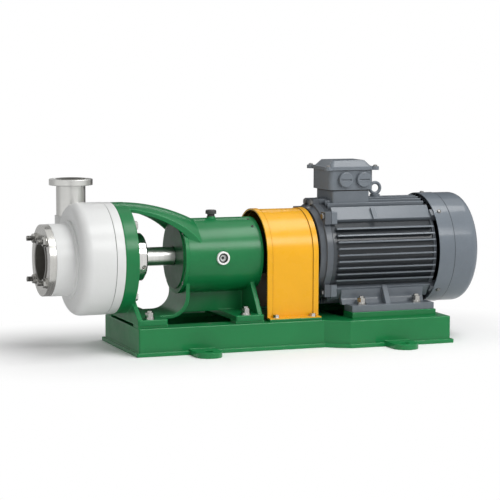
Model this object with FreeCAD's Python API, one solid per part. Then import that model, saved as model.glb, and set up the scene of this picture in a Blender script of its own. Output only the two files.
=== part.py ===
import FreeCAD, Part
import math
import os

# Fluoroplastic-lined centrifugal pump set: pump, coupling, guard and motor on one base.
# Millimetres. X runs along the shaft from the suction flange to the fan cover, Z points up.
# The origin lies on the floor, below the shaft, midway between the two rows of foundation holes.

Vec = FreeCAD.Vector

# Levels
base_height = 62.0
pump_pad_thickness = 6.0
motor_pad_thickness = 14.0
guard_rail_thickness = 5.0
motor_centre_height = 132.0
pump_foot_z = base_height + pump_pad_thickness
motor_foot_z = base_height + motor_pad_thickness
guard_foot_z = base_height + guard_rail_thickness
shaft_z = motor_foot_z + motor_centre_height

# Clearances
slip_gap = 0.3
running_gap = 0.08
seat_gap = 0.03
face_gap = 0.1

# Fasteners
m6_r = 3.0
m6_head_r = 5.0
m6_head_height = 4.0
m8_r = 4.0
m8_flats = 13.0
m8_head = 5.3
m8_washer_r = 8.0
m8_washer_thickness = 1.6
m12_r = 6.0
m12_flats = 18.0
m12_nut_height = 10.0
m12_thin_nut_height = 6.0
m12_pitch_r = 5.43
m12_head = 7.5
m12_washer_r = 12.0
m12_washer_thickness = 2.5
m12_spring_r = 10.5
m12_spring_thickness = 3.0
m12_end_rise = 4.0
bolt_end = 4.0
hex_ratio = 1.0 / math.cos(math.pi / 6)

# Places along the shaft, chained from the front face of the bearing frame's ring
ring_x = -406.0
ring_depth = 32.0
cover_depth = 20.0
casing_depth = 76.0
neck_length = 48.5
suction_flange_thickness = 15.5
lantern_reach = 160.5
housing_length = 176.0
ring_back_x = ring_x + ring_depth
seam_x = ring_x - cover_depth
casing_x = seam_x - casing_depth
neck_x = casing_x - neck_length
suction_x = neck_x - suction_flange_thickness
housing_x = ring_x + lantern_reach
housing_end_x = housing_x + housing_length

# Casing and its lining
casing_r = 127.0
casing_shoulder_r = 22.0
chamber_r = 103.0
casing_front_wall = 12.0
neck_r = 81.0
lip_r = 88.0
lip_width = 5.0
lining = 5.5
suction_bore_r = 44.5
volute_start_r = 80.0
volute_growth = 5.0
gasket_thickness = 1.2
cover_r = 126.5
cover_lining = 6.0
chamber_front_x = casing_x + casing_front_wall
cavity_front_x = chamber_front_x + lining
cavity_end_x = seam_x - cover_lining

# Suction flange and studs
suction_flange_r = 80.5
suction_pcd = 130.0
stud_length_out = 20.5
stud_length_in = 40.0
stud_thread_gap = 0.3

# Discharge pipe
discharge_x = casing_x + 32.0
discharge_y = 95.0
discharge_top_z = shaft_z + 176.0
discharge_bore_r = 25.0
discharge_lining = 4.0
pipe_wall = 4.5
discharge_flange_r = 50.0
discharge_flange_thickness = 14.0
discharge_pcd = 83.0
discharge_hole_r = 4.5
flare_r = 33.0
flare_thickness = 1.5
boss_height = 91.0
boss_wall = 3.5
pipe_engagement = 5.0
throat_rise = 20.0
throat_r = 22.0
diffuser_rise = 78.0
suction_flare_r = 52.0
discharge_tube_r = discharge_bore_r + discharge_lining
pipe_r = discharge_tube_r + pipe_wall

# Impeller
impeller_r = 72.0
impeller_gap = 4.0
back_shroud = 7.0
front_shroud = 5.0
vane_width = 20.0
vane_thickness = 5.0
vane_count = 5
eye_r = 38.0
eye_wall = 5.0
eye_length = 11.0
hub_r = 24.0
hub_length = 20.0
nut_r = 18.0
nut_length = 26.0
impeller_back_x = cavity_end_x - impeller_gap
hub_front_x = impeller_back_x - hub_length

# Pump shaft
impeller_seat_r = 14.0
thread_r = 10.0
thread_length = 16.0
sleeve_bore_r = 17.5
sleeve_r = 21.3
sleeve_end_gap = 12.0
seal_journal_r = 20.6
journal_r = 20.0
shoulder_r = 23.0
coupling_seat_r = 19.0
coupling_seat_length = 42.0
key_width = 10.0
key_height = 8.0
key_depth = 5.0
impeller_key_width = 8.0

# Mechanical seal
gland_r = 54.5
gland_end_x = ring_x + 74.0
gland_flange_r = 78.0
gland_flange_thickness = 12.0
gland_bore_r = 38.0
gland_wall = 8.0
gland_hole_r = 23.0
gland_bolt_circle_r = 66.0
gland_port_r = 5.0
gland_port_angle = 200
gland_bolt_grip = 7.0
gland_chamfer = 3.4
seal_bore_r = 34.0
seal_seat_depth = 16.0
seal_seat_inner_r = 24.0
seal_ring_r = 31.0
seal_ring_length = 10.0
bellows_length = 22.0
bellows_r = 33.0
bellows_wave = 4.0
bellows_waves = 4
collar_length = 14.0
collar_r = 34.0

# Bearing frame
ring_r = 126.0
ring_bore_r = 96.0
ring_edge_r = 2.0
arm_root_thickness = 7.0
arm_root_x = ring_x + 16.0
arm_overlap = 32.0
arm_half_width_front = 50.0
arm_half_width_rear = 78.0
housing_r = 85.0
cover_bore_r = 74.5
oil_chamber_r = 64.0
oil_chamber_wall = 5.0
frame_plate = 8.0
cradle_half_width = 62.0
cradle_bend_r = 42.0
cradle_front_bend_r = 14.0
foot_thickness = 12.0
foot_half_width = 126.0
front_foot_length = 69.0
rear_foot_length = 68.0
foot_corner_r = 6.0
leg_plate = 10.0
pump_foot_hole_r = 7.0
front_foot_bolt_inset = 30.0
rear_foot_bolt_inset = 27.5
pump_foot_bolt_y = 111.0
front_foot_x = ring_back_x - 4.0
rear_foot_x = housing_end_x - 78.0
foot_top_z = pump_foot_z + foot_thickness
casing_bolt_circle_r = 112.0
casing_bolt_grip = 14.0

# Bearings of the pump, deep groove ball bearings
bearing_r = 45.0
bearing_width = 23.0
bearing_pitch_r = 32.5
ball_r = 7.5
ball_count = 8
inner_ring_r = 27.5
outer_ring_bore_r = 38.0
cage_thickness = 1.2
cage_inner_r = 30.5
cage_outer_r = 34.5

# Bearing covers and oil fittings
cover_rim_r = 75.0
cover_rim_length = 3.0
cover_flange_r = 86.3
cover_flange_thickness = 7.5
cover_web = 14.0
cover_spigot = 6.0
cover_nose_r = 50.0
cover_depth_inside = 19.0
cover_rim_x = housing_x - cover_flange_thickness - cover_rim_length
lip_seal_width = 8.0
shaft_hole_gap = 1.5
bearing_stop_r = bearing_r - 6.0
lip_seal_r = 27.0
rear_cover_thickness = 4.0
rear_cover_screw_circle_r = 65.0
front_cover_screw_circle_r = 80.6
breather_x = housing_x + 81.5
breather_boss_r = 10.0
breather_boss_rise = 3.0
breather_stem_r = 6.0
breather_cap_r = 12.5
breather_cap_height = 9.0
breather_gap = 8.0
sight_x = housing_x + 80.5
sight_r = 15.2
sight_rise = 7.0
sight_glass_r = 10.5
sight_thread_r = 12.0
sight_glass_thickness = 3.0
sight_face_y = 2.0 - housing_r
bearing_end_gap = 0.5
rear_bearing_inset = 43.5
front_bearing_x = housing_x + cover_depth_inside + bearing_end_gap
rear_bearing_x = housing_end_x - rear_bearing_inset

# Coupling
coupling_r = 48.0
hub_clearance = 4.5
spider_width = 18.0
jaw_angle = 44.0
jaw_inner_r = 24.0
jaw_count = 3
jaw_end_gap = 2.0
spider_gap = 0.4
spider_ring_r = 23.5
spider_bore_r = 14.0
motor_hub_length = 54.0
seal_cover_x = housing_end_x + rear_cover_thickness
pump_hub_x = seal_cover_x + hub_clearance
pump_shaft_end_x = pump_hub_x + coupling_seat_length

# Guard
guard_r = 101.5
guard_sheet = 2.0
guard_band_width = 13.0
guard_band_rise = 2.0
guard_foot_width = 20.0
guard_foot_thickness = 2.5
guard_bolt_inset = 18.0
guard_front_clearance = 2.0
guard_rear_clearance = 6.0

# Motor, foot mounted
motor_shaft_r = 19.0
motor_shaft_length = 80.0
motor_shaft_end_x = pump_shaft_end_x + spider_width
motor_shoulder_x = motor_shaft_end_x + motor_shaft_length
motor_journal_r = 20.0
motor_body_shaft_r = 24.0
fan_seat_r = 17.5
motor_bearing_r = 40.0
motor_bearing_width = 18.0
motor_bearing_pitch_r = 30.0
motor_ball_r = 6.0
motor_inner_ring_r = 26.0
motor_outer_ring_bore_r = 34.0
motor_cage_inner_r = 28.4
motor_cage_outer_r = 31.6
shield_x = motor_shoulder_x - 11.0
shield_front_length = 12.0
shield_front_r = 103.0
shield_shoulder_r = 108.0
shield_r = 114.0
frame_x = motor_shoulder_x + 16.0
frame_rim_length = 11.0
fin_length = 245.0
fin_x = frame_x + frame_rim_length
frame_end_x = fin_x + fin_length
frame_core_r = 111.0
frame_bore_r = 105.0
fin_r = 125.5
fin_thickness = 3.2
side_fin_pitch = 15.0
side_fin_count = 9
top_fin_pitch = 14.6
top_fin_count = 8
land_top_y = 70.0
land_top_rise = 107.0
land_side_y = 93.0
land_side_rise = 80.0
ear_inner = 70.0
ear_outer = 98.0
top_ear_y = 17.0
top_ear_rise = 115.0
top_ear_half_width = 8.0
ear_length = 14.0
shield_ear_length = 15.0
shield_bolt_circle_r = 124.0
spigot_length = 5.0
bearing_stop = 5.0
shield_web = 9.0
rear_shield_thickness = 8.0
motor_foot_x = motor_shoulder_x + 57.0
motor_foot_end_inset = 7.0
motor_foot_length = frame_end_x - motor_foot_end_inset - motor_foot_x
motor_foot_half_width = 130.0
motor_foot_thickness = 15.0
motor_foot_inner = 84.0
motor_bolt_x = motor_shoulder_x + 89.0
motor_bolt_spacing = 140.0
motor_bolt_gauge = 216.0
leg_top_y = 90.0
leg_top_drop = 82.0
leg_waist_y = 87.0
leg_waist_drop = 104.0
leg_bend_r = 10.0
leg_foot_y = 95.0
leg_thickness = 14.0
leg_x = motor_foot_x - 10.0
rib_thickness = 12.0
foot_rib_x = motor_foot_x + 97.0
foot_rib_drop = 75.0
foot_rib_y = 118.0
land_rib_x = motor_foot_x + 72.0
land_rib_y = 99.0
stator_front_room = 48.0
stator_rear_room = 47.0
stator_bore_r = 68.0
air_gap = 0.5
winding_length = 32.0
winding_outer_r = 96.0
stator_x = fin_x + stator_front_room
stator_length = fin_length - stator_front_room - stator_rear_room
drive_bearing_x = motor_shoulder_x + 5.0
fan_bearing_x = frame_end_x - motor_bearing_width

# Fan and fan cover
fan_cover_r = 131.0
fan_cover_gap = 7.5
fan_cover_length = 105.5
fan_cover_sheet = 2.0
fan_cover_bend_r = 20.0
fan_cover_front_length = 41.0
fan_cover_step = 0.8
fan_r = 104.0
fan_hub_r = 27.0
fan_hub_length = 24.0
fan_disc = 4.0
fan_blade_length = 26.0
fan_blade_thickness = 3.0
fan_blade_count = 7
fan_x = frame_end_x + 26.0
fan_screw_x = frame_end_x + 21.5
lug_reach = 21.0
grille_slots = 8
grille_rings = 3
grille_slot_width = 10.0
grille_pitch = 20.0
grille_inner_r = 32.0
grille_bridge_angle = 12.0
lug_width = 18.0

# Terminal box
pedestal_x = motor_shoulder_x + 40.0
pedestal_length = 94.0
pedestal_half_width = 49.0
pedestal_ledge = 2.5
pedestal_ledge_rise = 113.5
pedestal_top_z = shaft_z + 142.0
box_length = 113.0
box_half_width = 52.0
box_height = 45.0
box_wall = 5.0
box_corner_r = 12.0
box_gasket = 3.0
lid_gasket = 1.0
lid_overhang = 4.0
lid_flange = 8.0
lid_rise = 14.0
lid_slope = 14.0
lid_ear_r = 9.0
lid_screw_r = 3.0
cable_hole_r = 18.0
plug_r = 17.3
plug_rise = 10.0
plug_thread_r = 12.5
plug_slot_width = 3.0
plug_slot_depth = 3.0
front_plug_inset = 39.5
rear_plug_inset = 85.5
plug_drop = 21.0
board_length = 64.0
board_half_width = 13.0
board_y = 32.0
board_thickness = 10.0
terminal_count = 6
terminal_r = 3.0
terminal_height = 14.0
box_x = pedestal_x - 10.0
box_z = pedestal_top_z + box_gasket
lid_z = box_z + box_height + lid_gasket
plug_z = box_z + box_height - plug_drop

# Eye bolt
eye_x = motor_shoulder_x + 170.0
eye_ring_r = 12.8
eye_wire_r = 3.8
eye_collar_r = 12.0
eye_collar_height = 5.0
eye_boss_r = 15.0
eye_boss_rise = 125.0
eye_thread_r = 6.0
eye_thread_length = 14.0

# Base
base_wall = 8.0
base_half_width = 133.0
motor_end_half_width = 166.5
flare_length = 52.0
base_corner_r = 4.0
base_edge_r = 2.0
base_lip = 6.5
base_lip_height = 8.0
rail_width = 51.0
motor_rail_width = 86.0
base_rear_margin = 26.0
cross_member_width = 40.0
lug_row_spacing = 464.0
lug_offset = 45.0
lug_half_width = 30.0
lug_thickness = 12.0
foundation_hole_r = 11.0
pad_half_width = 124.0
pad_inner_y = 86.0
motor_pad_half_width = 136.0
motor_pad_inner_y = 84.0
base_front_x = front_foot_x - 1.0
flare_end_x = motor_foot_x - 20.0
flare_start_x = flare_end_x - flare_length
base_rear_x = motor_foot_x + motor_foot_length + base_rear_margin
guard_x0 = seal_cover_x + guard_front_clearance
guard_x1 = shield_x - guard_rear_clearance
guard_bolt_y = guard_r + (guard_foot_width + 1) / 2


def axial(x, r):
    """Point at x along the shaft and r above its axis."""
    return Vec(x, 0, shaft_z + r)


def plan(z):
    """Placing function for outlines drawn from above at height z."""
    return lambda x, y: Vec(x, y, z)


def section(x):
    """Placing function for outlines across the shaft, from y and height over the axis."""
    return lambda y, rise: Vec(x, y, shaft_z + rise)


def side_view(y):
    """Placing function for outlines seen from the side, from x and z."""
    return lambda x, z: Vec(x, y, z)


def outline(points, place):
    """Closed wire through (u, v) or (u, v, radius) corners; a radius gives a tangent arc."""
    corners = []
    count = len(points)
    for index, point in enumerate(points):
        here = Vec(point[0], point[1], 0)
        before = Vec(points[index - 1][0], points[index - 1][1], 0)
        after = Vec(points[(index + 1) % count][0], points[(index + 1) % count][1], 0)
        if len(point) < 3:
            corners.append((here, here, here))
            continue
        to_before = (before - here).normalize()
        to_after = (after - here).normalize()
        half = to_before.getAngle(to_after) / 2
        reach = point[2] / math.tan(half)
        bisector = (to_before + to_after).normalize()
        middle = here + bisector * (point[2] / math.sin(half) - point[2])
        corners.append((here + to_before * reach, middle, here + to_after * reach))
    edges = []
    for index, (start, middle, end) in enumerate(corners):
        if start.distanceToPoint(end) > 1e-6:
            arc = Part.Arc(place(start.x, start.y), place(middle.x, middle.y), place(end.x, end.y))
            edges.append(arc.toShape())
        following = corners[(index + 1) % count][0]
        if end.distanceToPoint(following) > 1e-6:
            edges.append(Part.makeLine(place(end.x, end.y), place(following.x, following.y)))
    return Part.Wire(edges)


def extruded(points, place, direction):
    """Prism of an outline along a vector."""
    return Part.Face(outline(points, place)).extrude(direction)


def slab(points, z0, z1):
    """Prism of a plan outline between two heights."""
    return extruded(points, plan(z0), Vec(0, 0, z1 - z0))


def cross_prism(points, x0, x1):
    """Prism along the shaft of an outline across it."""
    return extruded(points, section(x0), Vec(x1 - x0, 0, 0))


def turned(points):
    """Body turned about the shaft axis from an outline of (x, radius) corners."""
    face = Part.Face(outline(points, axial))
    return face.revolve(Vec(0, 0, shaft_z), Vec(1, 0, 0), 360)


def rod(x0, x1, r, y=0.0, z=shaft_z):
    """Cylinder along X."""
    return Part.makeCylinder(r, x1 - x0, Vec(x0, y, z), Vec(1, 0, 0))


def ring(x0, x1, inner_r, outer_r):
    """Tube about the shaft axis."""
    return rod(x0, x1, outer_r).cut(rod(x0, x1, inner_r))


def post(x, y, z0, z1, r):
    """Cylinder along Z."""
    return Part.makeCylinder(r, z1 - z0, Vec(x, y, z0), Vec(0, 0, 1))


def block(x0, x1, y0, y1, z0, z1):
    """Box between two corners."""
    return Part.makeBox(x1 - x0, y1 - y0, z1 - z0, Vec(x0, y0, z0))


def rectangle(x0, x1, half_width, radius):
    """Plan rectangle with rounded corners, centred on the shaft line."""
    return [(x0, -half_width, radius), (x1, -half_width, radius), (x1, half_width, radius),
            (x0, half_width, radius)]


def mirrored(shape):
    """The same shape on the other side of the shaft."""
    return shape.mirror(Vec(0, 0, 0), Vec(0, 1, 0))


def both_sides(shape):
    """A list of the shape and its mirror image."""
    return [shape, mirrored(shape)]


def fused(shapes):
    """One solid from overlapping shapes, with joined faces merged."""
    return shapes[0].multiFuse(shapes[1:]).removeSplitter()


def turned_about_shaft(shape, angle):
    """Copy of a shape turned about the shaft axis."""
    copy = shape.copy()
    copy.rotate(Vec(0, 0, shaft_z), Vec(1, 0, 0), angle)
    return copy


def polar_array(shape, count, start=0.0):
    """Copies spaced evenly about the shaft axis."""
    return [turned_about_shaft(shape, start + 360.0 * index / count) for index in range(count)]


def hexagon(flats, height):
    """Hexagonal prism standing on the origin, with the top edge turned off as on a real nut."""
    corner_r = flats / 2 * hex_ratio
    corners = [Vec(corner_r * math.cos(a), corner_r * math.sin(a), 0)
               for a in (math.radians(60 * i) for i in range(7))]
    prism = Part.Face(Part.makePolygon(corners)).extrude(Vec(0, 0, height))
    cone = Part.makeCone(flats / 2 + height * 1.6, flats / 2 * 0.98, height * 1.02)
    return prism.common(cone)


def hex_bolt(r, shank, flats, head, washer_r=0.0, washer_thickness=0.0):
    """Hexagon bolt along Z: washer face on the origin, shank below it, head above."""
    body = [hexagon(flats, head).translate(Vec(0, 0, washer_thickness))]
    body.append(Part.makeCylinder(r, shank + washer_thickness, Vec(0, 0, -shank)))
    if washer_r:
        body.append(Part.makeCylinder(washer_r, washer_thickness))
    return body[0].multiFuse(body[1:])


def placed(shape, position, direction=Vec(0, 0, 1)):
    """Copy moved to a position with its Z axis along a direction."""
    copy = shape.copy()
    copy.Placement = FreeCAD.Placement(position, FreeCAD.Rotation(Vec(0, 0, 1), direction))
    return copy


def group(shapes):
    """Several separate solids in one node."""
    return Part.makeCompound(shapes)


def at_angle(radius, angle, x):
    """Point on a circle about the shaft; the angle runs from +Y towards +Z."""
    a = math.radians(angle)
    return Vec(x, radius * math.cos(a), shaft_z + radius * math.sin(a))


def outward_at(angle):
    """Unit vector away from the shaft at an angle."""
    return at_angle(1, angle, 0) - at_angle(0, angle, 0)


def sector(x0, x1, r0, r1, middle, width):
    """Part of a tube between two radii and two angles."""
    low = middle - width / 2
    high = middle + width / 2
    outer = Part.Arc(at_angle(r1, low, x0), at_angle(r1, middle, x0), at_angle(r1, high, x0)).toShape()
    inner = Part.Arc(at_angle(r0, high, x0), at_angle(r0, middle, x0), at_angle(r0, low, x0)).toShape()
    first = Part.makeLine(at_angle(r0, low, x0), at_angle(r1, low, x0))
    second = Part.makeLine(at_angle(r1, high, x0), at_angle(r0, high, x0))
    return Part.Face(Part.Wire([first, outer, second, inner])).extrude(Vec(x1 - x0, 0, 0))


def diagonal_points(radius, x):
    """Four points at 45 degrees on a circle about the shaft."""
    return [at_angle(radius, angle, x) for angle in (45, 135, 225, 315)]


# Base

def base_outline(grow):
    """Plan outline of the base, wider under the motor and grown on every side."""
    front = base_front_x - grow
    rear = base_rear_x + grow
    narrow = base_half_width + grow
    wide = motor_end_half_width + grow
    return [(front, -narrow, base_corner_r), (flare_start_x, -narrow), (flare_end_x, -wide),
            (rear, -wide, base_corner_r), (rear, wide, base_corner_r), (flare_end_x, wide),
            (flare_start_x, narrow), (front, narrow, base_corner_r)]


def base_frame():
    """Open-bottomed welded base with a lip, two top openings and a cross member."""
    body = slab(base_outline(0), 0, base_height)
    top_edges = [edge for edge in body.Edges if min(v.Z for v in edge.Vertexes) > base_height - 0.01]
    body = body.makeFillet(base_edge_r, top_edges)
    body = body.fuse(slab(base_outline(base_lip), 0, base_lip_height))
    body = body.cut(slab(base_outline(-base_wall), -1, base_height - base_wall))
    pump_rail_y = base_half_width - rail_width
    motor_rail_y = motor_end_half_width - motor_rail_width
    pump_opening = rectangle(front_foot_x + 33, rear_foot_x + rear_foot_length - 33, pump_rail_y, 10)
    motor_opening = rectangle(motor_foot_x - 8, motor_foot_x + motor_foot_length - 8, motor_rail_y, 10)
    for opening in (pump_opening, motor_opening):
        body = body.cut(slab(opening, base_height - 2 * base_wall, base_height + 1))
    half = cross_member_width / 2
    reach = base_half_width - base_wall / 2
    cross = block(-half, half, -reach, reach, 0, base_wall)
    body = fused([body, cross] + foundation_lugs())
    for x, y, r in base_bolt_holes():
        for side_y in (-y, y):
            body = body.cut(post(x, side_y, base_height - 2 * base_wall, base_height + 1, r + seat_gap))
    return body


def foundation_lugs():
    """Four drilled lugs that stand out from the foot of the base."""
    lugs = []
    for x, wall_y in ((-lug_row_spacing / 2, base_half_width), (lug_row_spacing / 2, motor_end_half_width)):
        root = wall_y - base_wall / 2
        tip = wall_y + lug_offset + lug_half_width
        points = [(x - lug_half_width, -root), (x + lug_half_width, -root),
                  (x + lug_half_width, -tip, lug_half_width - 0.5),
                  (x - lug_half_width, -tip, lug_half_width - 0.5)]
        lug = slab(points, 0, lug_thickness)
        lug = lug.cut(post(x, -(wall_y + lug_offset), -1, lug_thickness + 1, foundation_hole_r))
        lugs += both_sides(lug)
    return lugs


def base_bolt_holes():
    """Places (x, y, radius) of the bolts of the pump, the guard and the motor on one side."""
    holes = [(foot_bolt_x(x), pump_foot_bolt_y, m12_r) for x in (front_foot_x, rear_foot_x)]
    holes += [(x, motor_bolt_gauge / 2, m12_r) for x in (motor_bolt_x, motor_bolt_x + motor_bolt_spacing)]
    return holes + [(x, guard_bolt_y, m8_r) for x in guard_bolt_places()]


def guard_bolt_places():
    """Places of the guard's bolts along the shaft."""
    return guard_x0 + guard_bolt_inset, guard_x1 - guard_bolt_inset


def pump_pads():
    """Four flat packing plates under the ends of the pump feet."""
    pads = []
    for x, length in ((front_foot_x, front_foot_length), (rear_foot_x, rear_foot_length)):
        pad = block(x, x + length, -pad_half_width, -pad_inner_y, base_height, pump_foot_z)
        hole_x = foot_bolt_x(x)
        pad = pad.cut(post(hole_x, -pump_foot_bolt_y, base_height - 1, pump_foot_z + 1, pump_foot_hole_r))
        pads += both_sides(pad)
    return group(pads)


def motor_pads():
    """Two machined rails that carry the motor's feet."""
    rail = block(motor_foot_x - 2, motor_foot_x + motor_foot_length + 2,
                 -motor_pad_half_width, -motor_pad_inner_y, base_height, motor_foot_z)
    for x in (motor_bolt_x, motor_bolt_x + motor_bolt_spacing):
        rail = rail.cut(post(x, -motor_bolt_gauge / 2, base_height - 1, motor_foot_z + 1, m12_r))
    return group(both_sides(rail))


def guard_rails():
    """Two flat bars that carry the guard's feet."""
    y = guard_r + guard_foot_width + 1
    rail = block(guard_x0 - 1, guard_x1 + 1, -y, -(guard_r - guard_sheet), base_height, guard_foot_z)
    for x in guard_bolt_places():
        rail = rail.cut(post(x, -guard_bolt_y, base_height - 1, guard_foot_z + 1, m8_r))
    return group(both_sides(rail))


# Wet end

def spiral_arc(centre, radius, start, place):
    """Quarter arc from a start angle, anticlockwise in the section."""
    ends = []
    for angle in (start, start + 45, start + 90):
        a = math.radians(angle)
        ends.append(place(centre[0] + radius * math.cos(a), centre[1] + radius * math.sin(a)))
    return Part.Arc(ends[0], ends[1], ends[2]).toShape()


def volute_cavity():
    """Space round the impeller: a four-centre spiral that grows towards the discharge side."""
    place = section(cavity_front_x)
    half = volute_growth / 2
    centres = ((-half, -half), (half, -half), (half, half), (-half, half))
    edges = []
    for index, centre in enumerate(centres):
        edges.append(spiral_arc(centre, volute_start_r + index * volute_growth, 90 + 90 * index, place))
    edges.append(Part.makeLine(edges[-1].Vertexes[-1].Point, edges[0].Vertexes[0].Point))
    wire = Part.Wire(Part.__sortEdges__(edges))
    return Part.Face(wire).extrude(Vec(cavity_end_x - cavity_front_x, 0, 0))


def diffuser(low_r, high_r, low_z):
    """Cone from the volute's outlet up to the discharge tube."""
    height = shaft_z + diffuser_rise - low_z
    return Part.makeCone(low_r, high_r, height, Vec(discharge_x, discharge_y, low_z))


def lining_form():
    """Outer form of the casing's lining, which is also the space it fills in the casing."""
    tube_r = suction_bore_r + lining
    body = turned([(neck_x, 0), (neck_x, tube_r), (chamber_front_x, tube_r), (chamber_front_x, chamber_r),
                   (cavity_end_x, chamber_r), (cavity_end_x, 0)])
    tube = post(discharge_x, discharge_y, shaft_z + diffuser_rise, discharge_top_z - flare_thickness,
                discharge_tube_r)
    return body.fuse([tube, diffuser(throat_r + lining, discharge_tube_r, shaft_z + throat_rise - lining)])


def casing_lining():
    """Fluoroplastic lining with the volute and flared suction and discharge tubes."""
    body = lining_form()
    flare = post(discharge_x, discharge_y, discharge_top_z - flare_thickness, discharge_top_z, flare_r)
    suction_tube = rod(suction_x, neck_x, suction_bore_r + lining)
    suction_flare = rod(suction_x - flare_thickness, suction_x, suction_flare_r)
    body = body.fuse([flare, suction_tube, suction_flare])
    body = body.cut(volute_cavity())
    body = body.cut(rod(suction_x - flare_thickness - 1, cavity_end_x + 1, suction_bore_r))
    bore = post(discharge_x, discharge_y, shaft_z + diffuser_rise, discharge_top_z + 1, discharge_bore_r)
    bore = bore.fuse(diffuser(throat_r, discharge_bore_r, shaft_z + throat_rise))
    return body.cut(bore).removeSplitter()


def pump_casing():
    """Metal casing with the suction neck, the rounded shoulder and the discharge boss."""
    end_x = seam_x - gasket_thickness
    body = turned([(neck_x, 0), (neck_x, neck_r, 1.5), (casing_x - lip_width, neck_r, 3),
                   (casing_x - lip_width, lip_r, 2), (casing_x, lip_r),
                   (casing_x, casing_r, casing_shoulder_r),
                   (end_x, casing_r), (end_x, 0)])
    boss_r = pipe_r + boss_wall
    boss_top_z = shaft_z + boss_height
    body = body.fuse(post(discharge_x, discharge_y, shaft_z, boss_top_z, boss_r))
    body = body.cut(rod(cavity_end_x - 1, end_x + 1, chamber_r))
    body = body.cut(lining_form())
    body = body.cut(post(discharge_x, discharge_y, boss_top_z - pipe_engagement, discharge_top_z, pipe_r))
    for point in diagonal_points(suction_pcd / 2, neck_x):
        body = body.cut(rod(neck_x - 1, neck_x + stud_length_in, m12_pitch_r, point.y, point.z))
    for point in diagonal_points(casing_bolt_circle_r, end_x):
        body = body.cut(rod(end_x - casing_bolt_grip, end_x + 1, m12_r, point.y, point.z))
    return body.removeSplitter()


def casing_gasket():
    """Flat gasket that shows as a thin dark line round the casing."""
    gasket = ring(seam_x - gasket_thickness, seam_x, chamber_r + slip_gap, cover_r - 0.5)
    for point in diagonal_points(casing_bolt_circle_r, seam_x):
        gasket = gasket.cut(rod(seam_x - 2, seam_x + 1, m12_r + slip_gap, point.y, point.z))
    return gasket


def casing_cover():
    """Disc between the casing and the bearing frame, bored for the seal seat."""
    cover = turned([(seam_x, seal_bore_r), (seam_x, cover_r, 1), (ring_x, cover_r, 1),
                    (ring_x, seal_bore_r)])
    for point in diagonal_points(casing_bolt_circle_r, seam_x):
        cover = cover.cut(rod(seam_x - 1, ring_x + 1, m12_r + slip_gap, point.y, point.z))
    for point in diagonal_points(gland_bolt_circle_r, ring_x):
        cover = cover.cut(rod(seam_x + cover_depth / 2, ring_x + 1, m8_r, point.y, point.z))
    return cover


def cover_lining_disc():
    """Fluoroplastic face of the casing cover."""
    return ring(cavity_end_x, seam_x, seal_seat_inner_r, chamber_r - slip_gap)


def suction_flange():
    """Stainless ring on the suction neck, drilled for four studs."""
    tube_r = suction_bore_r + lining
    flange = turned([(suction_x, tube_r), (suction_x, suction_flange_r, 1),
                     (neck_x, suction_flange_r), (neck_x, tube_r)])
    for point in diagonal_points(suction_pcd / 2, suction_x):
        flange = flange.cut(rod(suction_x - 1, neck_x + 1, m12_r + slip_gap, point.y, point.z))
    return flange


def suction_stud(point):
    """One stud: full thread outside its nut, and the pitch radius where it is screwed in."""
    tip_x = suction_x - stud_length_out
    nut_x = suction_x - m12_washer_thickness - m12_thin_nut_height
    core = rod(tip_x + 1, neck_x + stud_length_in - 1, m12_pitch_r, point.y, point.z)
    return core.fuse(rod(tip_x, nut_x - stud_thread_gap, m12_r, point.y, point.z))


def suction_studs():
    """Four studs from the casing neck through the flange."""
    return group([suction_stud(p) for p in diagonal_points(suction_pcd / 2, suction_x)])


def suction_nuts():
    """A washer and a thin nut on each suction stud."""
    nut = hexagon(m12_flats, m12_thin_nut_height).translate(Vec(0, 0, m12_washer_thickness))
    nut = nut.fuse(Part.makeCylinder(m12_washer_r, m12_washer_thickness))
    nut = nut.cut(Part.makeCylinder(m12_pitch_r, m12_thin_nut_height + 9, Vec(0, 0, -1)))
    nut = nut.cut(Part.makeCylinder(m12_r + slip_gap, m12_washer_thickness))
    return group([placed(nut, Vec(suction_x, p.y, p.z), Vec(-1, 0, 0))
                  for p in diagonal_points(suction_pcd / 2, suction_x)])


def discharge_pipe():
    """Vertical pipe with a drilled flange, seated in the casing's boss."""
    bottom = shaft_z + boss_height - pipe_engagement
    flange_top = discharge_top_z - flare_thickness
    pipe = post(discharge_x, discharge_y, bottom, flange_top, pipe_r)
    flange = post(discharge_x, discharge_y, flange_top - discharge_flange_thickness, flange_top,
                  discharge_flange_r)
    flange = flange.makeChamfer(1, [e for e in flange.Edges if e.Length > discharge_flange_r * 3])
    body = pipe.fuse(flange).cut(post(discharge_x, discharge_y, bottom - 1, flange_top + 1,
                                      discharge_tube_r))
    for sign_x in (-1, 1):
        for sign_y in (-1, 1):
            offset = discharge_pcd / 2 / math.sqrt(2)
            hole = post(discharge_x + sign_x * offset, discharge_y + sign_y * offset,
                        flange_top - discharge_flange_thickness - 1, flange_top + 1, discharge_hole_r)
            body = body.cut(hole)
    return body.removeSplitter()


def casing_bolts():
    """Four hexagon bolts through the ring and the cover into the casing."""
    length = ring_back_x - seam_x + casing_bolt_grip
    bolt = hex_bolt(m12_r, length, m12_flats, m12_head)
    return group([placed(bolt, Vec(ring_back_x, p.y, p.z), Vec(1, 0, 0))
                  for p in diagonal_points(casing_bolt_circle_r, ring_back_x)])


# Impeller and pump shaft

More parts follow.
